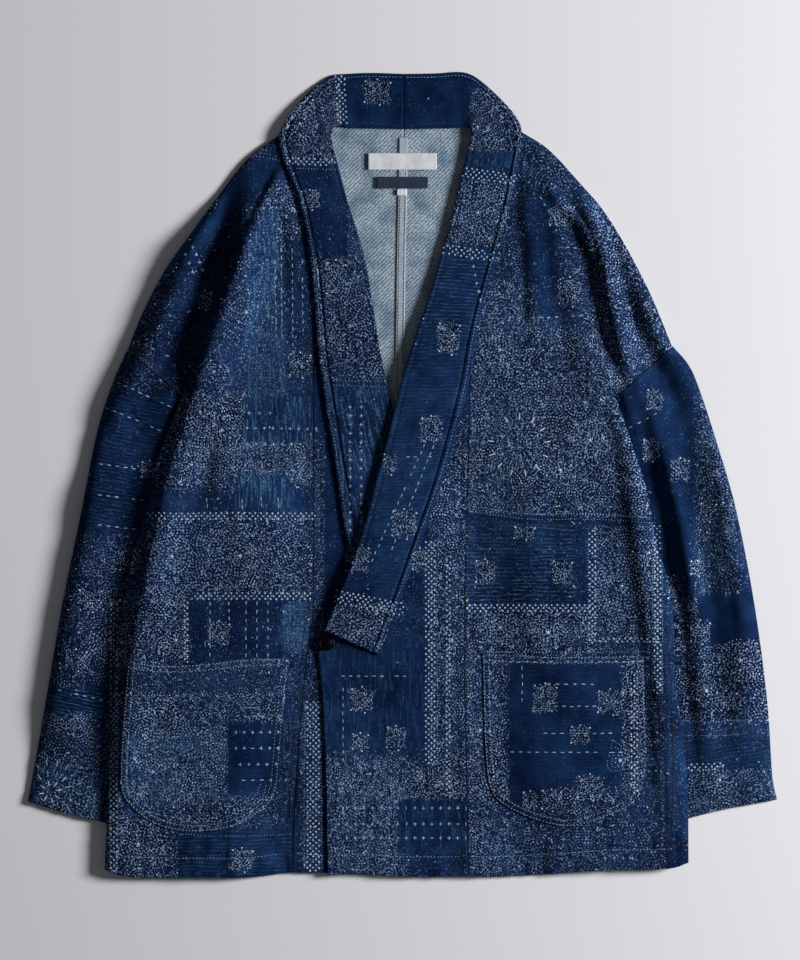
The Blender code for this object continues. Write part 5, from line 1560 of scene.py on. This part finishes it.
def seams():
    front = ("front_right", "overlap_right", "front_left", "overlap_left")
    # The groove() lines paint the shade in the seams' grooves and at the pockets' edges; the topstitches
    # further down are thread.
    groove(FRONT_SEAM_RIGHT, 0.9, front, 1.6)
    groove(FRONT_SEAM_RIGHT, 6.8, front)
    groove(FRONT_SEAM_LEFT, -0.9, front, 1.6)
    groove(FRONT_SEAM_LEFT, 5.8, front)
    for line in (ARMHOLE_RIGHT, ARMHOLE_LEFT[::-1]):
        groove(line, 1.2, ("front_right", "front_left"))
        groove(line, 6.0, ("front_right", "front_left"), 1.1)
    groove(SIDE_WELT, 0, ("front_left",), 2.4)
    groove(SIDE_WELT, -5.4, ("front_left",), 2.2)
    groove(SIDE_WELT, 7.0, ("front_left",), 1.1)
    groove([(67, -40), (131, -48), (192, -48), (258, -52)], 0, ("front_left",))
    for sections, turn, node in ((COLLAR_RIGHT, 1, "collar_right"), (COLLAR_LEFT, -1, "collar_left")):
        groove(section_line(sections, (0, 1)), turn * COLLAR_GROOVE, (node,), 1.4)
    for outline, node in ((POCKET_RIGHT, "pocket_right"), (POCKET_LEFT, "pocket_left")):
        around = [*outline["left"][::-1], *outline["bottom"][1:-1], *outline["right"]]
        groove(around, -0.9, ("front_right", "front_left"), 1.1)
        groove(around, POCKET_GROOVE, (node,), 1.5)
        groove(outline["top"], -9.5, (node,), 1.1)
    for line in (HEM_RIGHT, OPENING_HEM, HEM_LEFT[::-1]):
        groove(line, HEM_DEPTH, front, 1.1)
        topstitch(line, HEM_DEPTH - 2, only=front, colour=PALE)
    for line, offset in ((FRONT_SEAM_RIGHT, 3), (FRONT_SEAM_RIGHT, 8), (FRONT_SEAM_LEFT, -3),
                         (FRONT_SEAM_LEFT, -8)):
        topstitch(line, offset, only=front)
    for line, offset in ((ARMHOLE_RIGHT, 3), (ARMHOLE_RIGHT, 8), (ARMHOLE_LEFT, -3), (ARMHOLE_LEFT, -8)):
        topstitch(line, offset, only=("front_right", "front_left"))
    for line, offset in ((SIDE_WELT, -2.6), (SIDE_WELT, 9.5)):
        topstitch(line, offset, only=("front_left",))
    for line, turn in ((CUFF_RIGHT, -1), (CUFF_LEFT, 1)):
        for offset in (CUFF_DEPTH, 76, 81):
            topstitch(line, turn * offset, only=("sleeve_right", "sleeve_left"))
    for outline, node in ((POCKET_RIGHT, "pocket_right"), (POCKET_LEFT, "pocket_left")):
        around = [*outline["left"][::-1], *outline["bottom"][1:-1], *outline["right"]]
        topstitch(around, 1.6, only=(node,), colour=LIGHT, width=0.8)
        topstitch(around, 6.6, only=(node,), colour=PALE, width=0.8)
        topstitch(outline["top"], -1.6, only=(node,), colour=LIGHT, width=0.8)
        topstitch(outline["top"], -7.0, only=(node,), colour=LIGHT, width=0.7)
    for sections, turn, node in ((COLLAR_RIGHT, 1, "collar_right"), (COLLAR_LEFT, -1, "collar_left")):
        outer, inner = section_line(sections, (0, 1)), section_line(sections, (3, 4))
        topstitch(outer, turn * 3.6, only=(node,), colour=PALE, width=0.8)
        topstitch(inner[::2], -turn * 5, only=(node,))
    for offset in (-2.7, 2.7):
        topstitch(BACK_SEAM, offset, pitch=3.0, length=3.3, colour=DARK, width=1.5, only=("back_seam_tape",))
    for label, node in ((NECK_LABEL, "neck_label"), (SMALL_LABEL, "small_label")):
        (x, y), (wide, high) = label["centre"], label["size"]
        colour = WHITE if label is NECK_LABEL else NAVY
        for end in (-1, 1):
            ends = np.array([(x + end * (wide / 2 - 1.5), y - high / 2),
                             (x + end * (wide / 2 - 1.5), y + high / 2)])
            topstitch(ends, 0, pitch=2.0, length=1.3, colour=colour, width=0.5, only=(node,))


seams()
ornament()
sparks()
sew()


def make_stud():
    """A domed press stud with a rolled rim, turned about its own axis."""
    reach = STUD_RADIUS * np.array([(0, 0), (1, 0), (0, 1), (-1, 0), (0, -1), (0.7, 0.7), (0.7, -0.7)])
    level = left_front_height(np.array([STUD_CENTRE]) + reach).max() + CLOTH / 2 + 0.3
    profile = [(0.0, 2.5), (2.4, 2.45), (4.2, 2.2), (5.4, 1.75), (5.9, 1.5), (6.3, 1.6), (6.9, 1.95),
               (7.5, 2.0), (8.0, 1.7), (8.2, 1.1), (8.1, 0.4), (7.8, 0.0), (0.0, 0.0)]
    build = bmesh.new()
    line = [build.verts.new((STUD_CENTRE[0] * MM + r * MM, STUD_CENTRE[1] * MM, (level + z) * MM))
            for r, z in profile]
    edges = [build.edges.new(pair) for pair in zip(line, line[1:])]
    bmesh.ops.spin(build, geom=line + edges, cent=(STUD_CENTRE[0] * MM, STUD_CENTRE[1] * MM, 0),
                   axis=(0, 0, 1), angle=2 * np.pi, steps=48)
    bmesh.ops.remove_doubles(build, verts=build.verts, dist=1e-6)
    bmesh.ops.recalc_face_normals(build, faces=build.faces)
    mesh = bpy.data.meshes.new("press_stud_cap")
    build.to_mesh(mesh)
    build.free()
    mesh.shade_smooth()
    f = Finish("black_stud", 0.28, metallic=1.0)
    place = put(f.tree, "TexCoord").outputs["Object"]
    wear = put(f.tree, "TexNoise", {"Vector": place, "Scale": 900.0, "Detail": 3.0}).outputs["Fac"]
    colour = f.mix(f.step(wear, 0.55, 0.75), (0.012, 0.012, 0.014, 1.0), (0.05, 0.05, 0.055, 1.0))
    mesh.materials.append(f.finish(colour, f.sum("MULTIPLY_ADD", wear, 0.25, 0.18), wear, 0.02))
    piece = bpy.data.objects.new("press_stud_cap", mesh)
    bpy.context.scene.collection.objects.link(piece)
    keep(piece, "press_stud")


make_stud()


# Each shown piece of cloth as it was cut, in metres: width, length and area,
# then how it is held and what it rests on
CUTS = {
    "back_right": (0.305, 0.763, 0.195, "laid", ["sleeve_right"]),
    "back_left": (0.297, 0.762, 0.193, "laid", ["sleeve_left"]),
    "front_right": (0.225, 0.764, 0.126, "laid", ["back_right", "sleeve_right"]),
    "front_left": (0.232, 0.763, 0.139, "laid", ["back_left", "sleeve_left", "overlap_right"]),
    "overlap_right": (0.169, 0.596, 0.059, "laid", ["back_right", "back_left"]),
    "overlap_left": (0.155, 0.536, 0.053, "laid", ["overlap_right"]),
    "sleeve_right": (0.440, 0.500, 0.160, "folded", []),
    "sleeve_left": (0.440, 0.500, 0.167, "folded", []),
    "collar_right": (0.065, 0.640, 0.041, "folded", ["front_right", "overlap_right"]),
    "collar_left": (0.065, 0.660, 0.042, "folded", ["front_left", "overlap_left"]),
    "pocket_right": (0.172, 0.177, 0.0272, "laid", ["front_right"]),
    "pocket_left": (0.166, 0.177, 0.0265, "laid", ["front_left"]),
    "back_seam_tape": (0.010, 0.738, 0.0066, "laid", ["back_right", "back_left"]),
    "neck_label": (0.070, 0.017, 0.00119, "laid", ["back_right", "back_left"]),
    "small_label": (0.052, 0.012, 0.00062, "laid", ["back_right", "back_left"]),
}


def declare_sheets():
    for node, (width, length, area, held, rests_on) in CUTS.items():
        going = [STITCH_PIECES[node]] if node in STITCH_PIECES else []
        if node == "small_label":
            going.append(PIECES["size_tab"])
        if node == "front_left":
            going.append(PIECES["press_stud"])


declare_sheets()


# One soft key light low on the viewer's right, in metres and watts, and the even light of the room
KEY_PLACE = (3.30, 0.45, 1.68)
KEY_SIZE = 1.15
KEY_POWER = 226.0
FILL_LEVEL = 0.09


def make_floor():
    build = bmesh.new()
    bmesh.ops.create_grid(build, x_segments=8, y_segments=8, size=4.0)
    mesh = bpy.data.meshes.new("floor")
    build.to_mesh(mesh)
    build.free()
    floor = bpy.data.objects.new("floor", mesh)
    f = Finish("pale_floor", 0.9)
    place = put(f.tree, "TexCoord").outputs["Object"]
    cloud = put(f.tree, "TexNoise", {"Vector": place, "Scale": 1.2, "Detail": 2.0}).outputs["Fac"]
    colour = f.mix(cloud, (0.768, 0.771, 0.808, 1.0), (0.788, 0.791, 0.828, 1.0))
    f.tree.links.new(colour, f.shader.inputs["Base Color"])
    mesh.materials.append(f.material)
    bpy.context.scene.collection.objects.link(floor)


def make_light(name, place, size, power, colour=(1.0, 1.0, 1.0)):
    lamp = bpy.data.lights.new(name, "AREA")
    lamp.shape = "DISK"
    lamp.size = size
    lamp.energy = power
    lamp.color = colour
    light = bpy.data.objects.new(name, lamp)
    light.location = place
    light.rotation_mode = "QUATERNION"
    light.rotation_quaternion = (-Vector(place)).to_track_quat("-Z", "Y")
    bpy.context.scene.collection.objects.link(light)


def make_world():
    world = bpy.data.worlds.new("studio")
    world.use_nodes = True
    world.node_tree.nodes["Background"].inputs["Color"].default_value = (0.94, 0.95, 1.0, 1.0)
    world.node_tree.nodes["Background"].inputs["Strength"].default_value = FILL_LEVEL
    bpy.context.scene.world = world
    bpy.context.scene.view_settings.view_transform = "Standard"


def make_camera():
    """Straight down from far off, so that the plan keeps its proportions."""
    sensor, distance, frame_height = 36.0, 6.0, 0.9792
    data = bpy.data.cameras.new("camera")
    data.sensor_width = sensor
    data.lens = sensor * distance / frame_height
    camera = bpy.data.objects.new("camera", data)
    camera.location = (-0.002, -0.0056, distance + 0.008)
    bpy.context.scene.collection.objects.link(camera)
    bpy.context.scene.camera = camera


make_floor()
make_light("key", KEY_PLACE, KEY_SIZE, KEY_POWER, (1.0, 0.99, 0.98))
make_world()
make_camera()
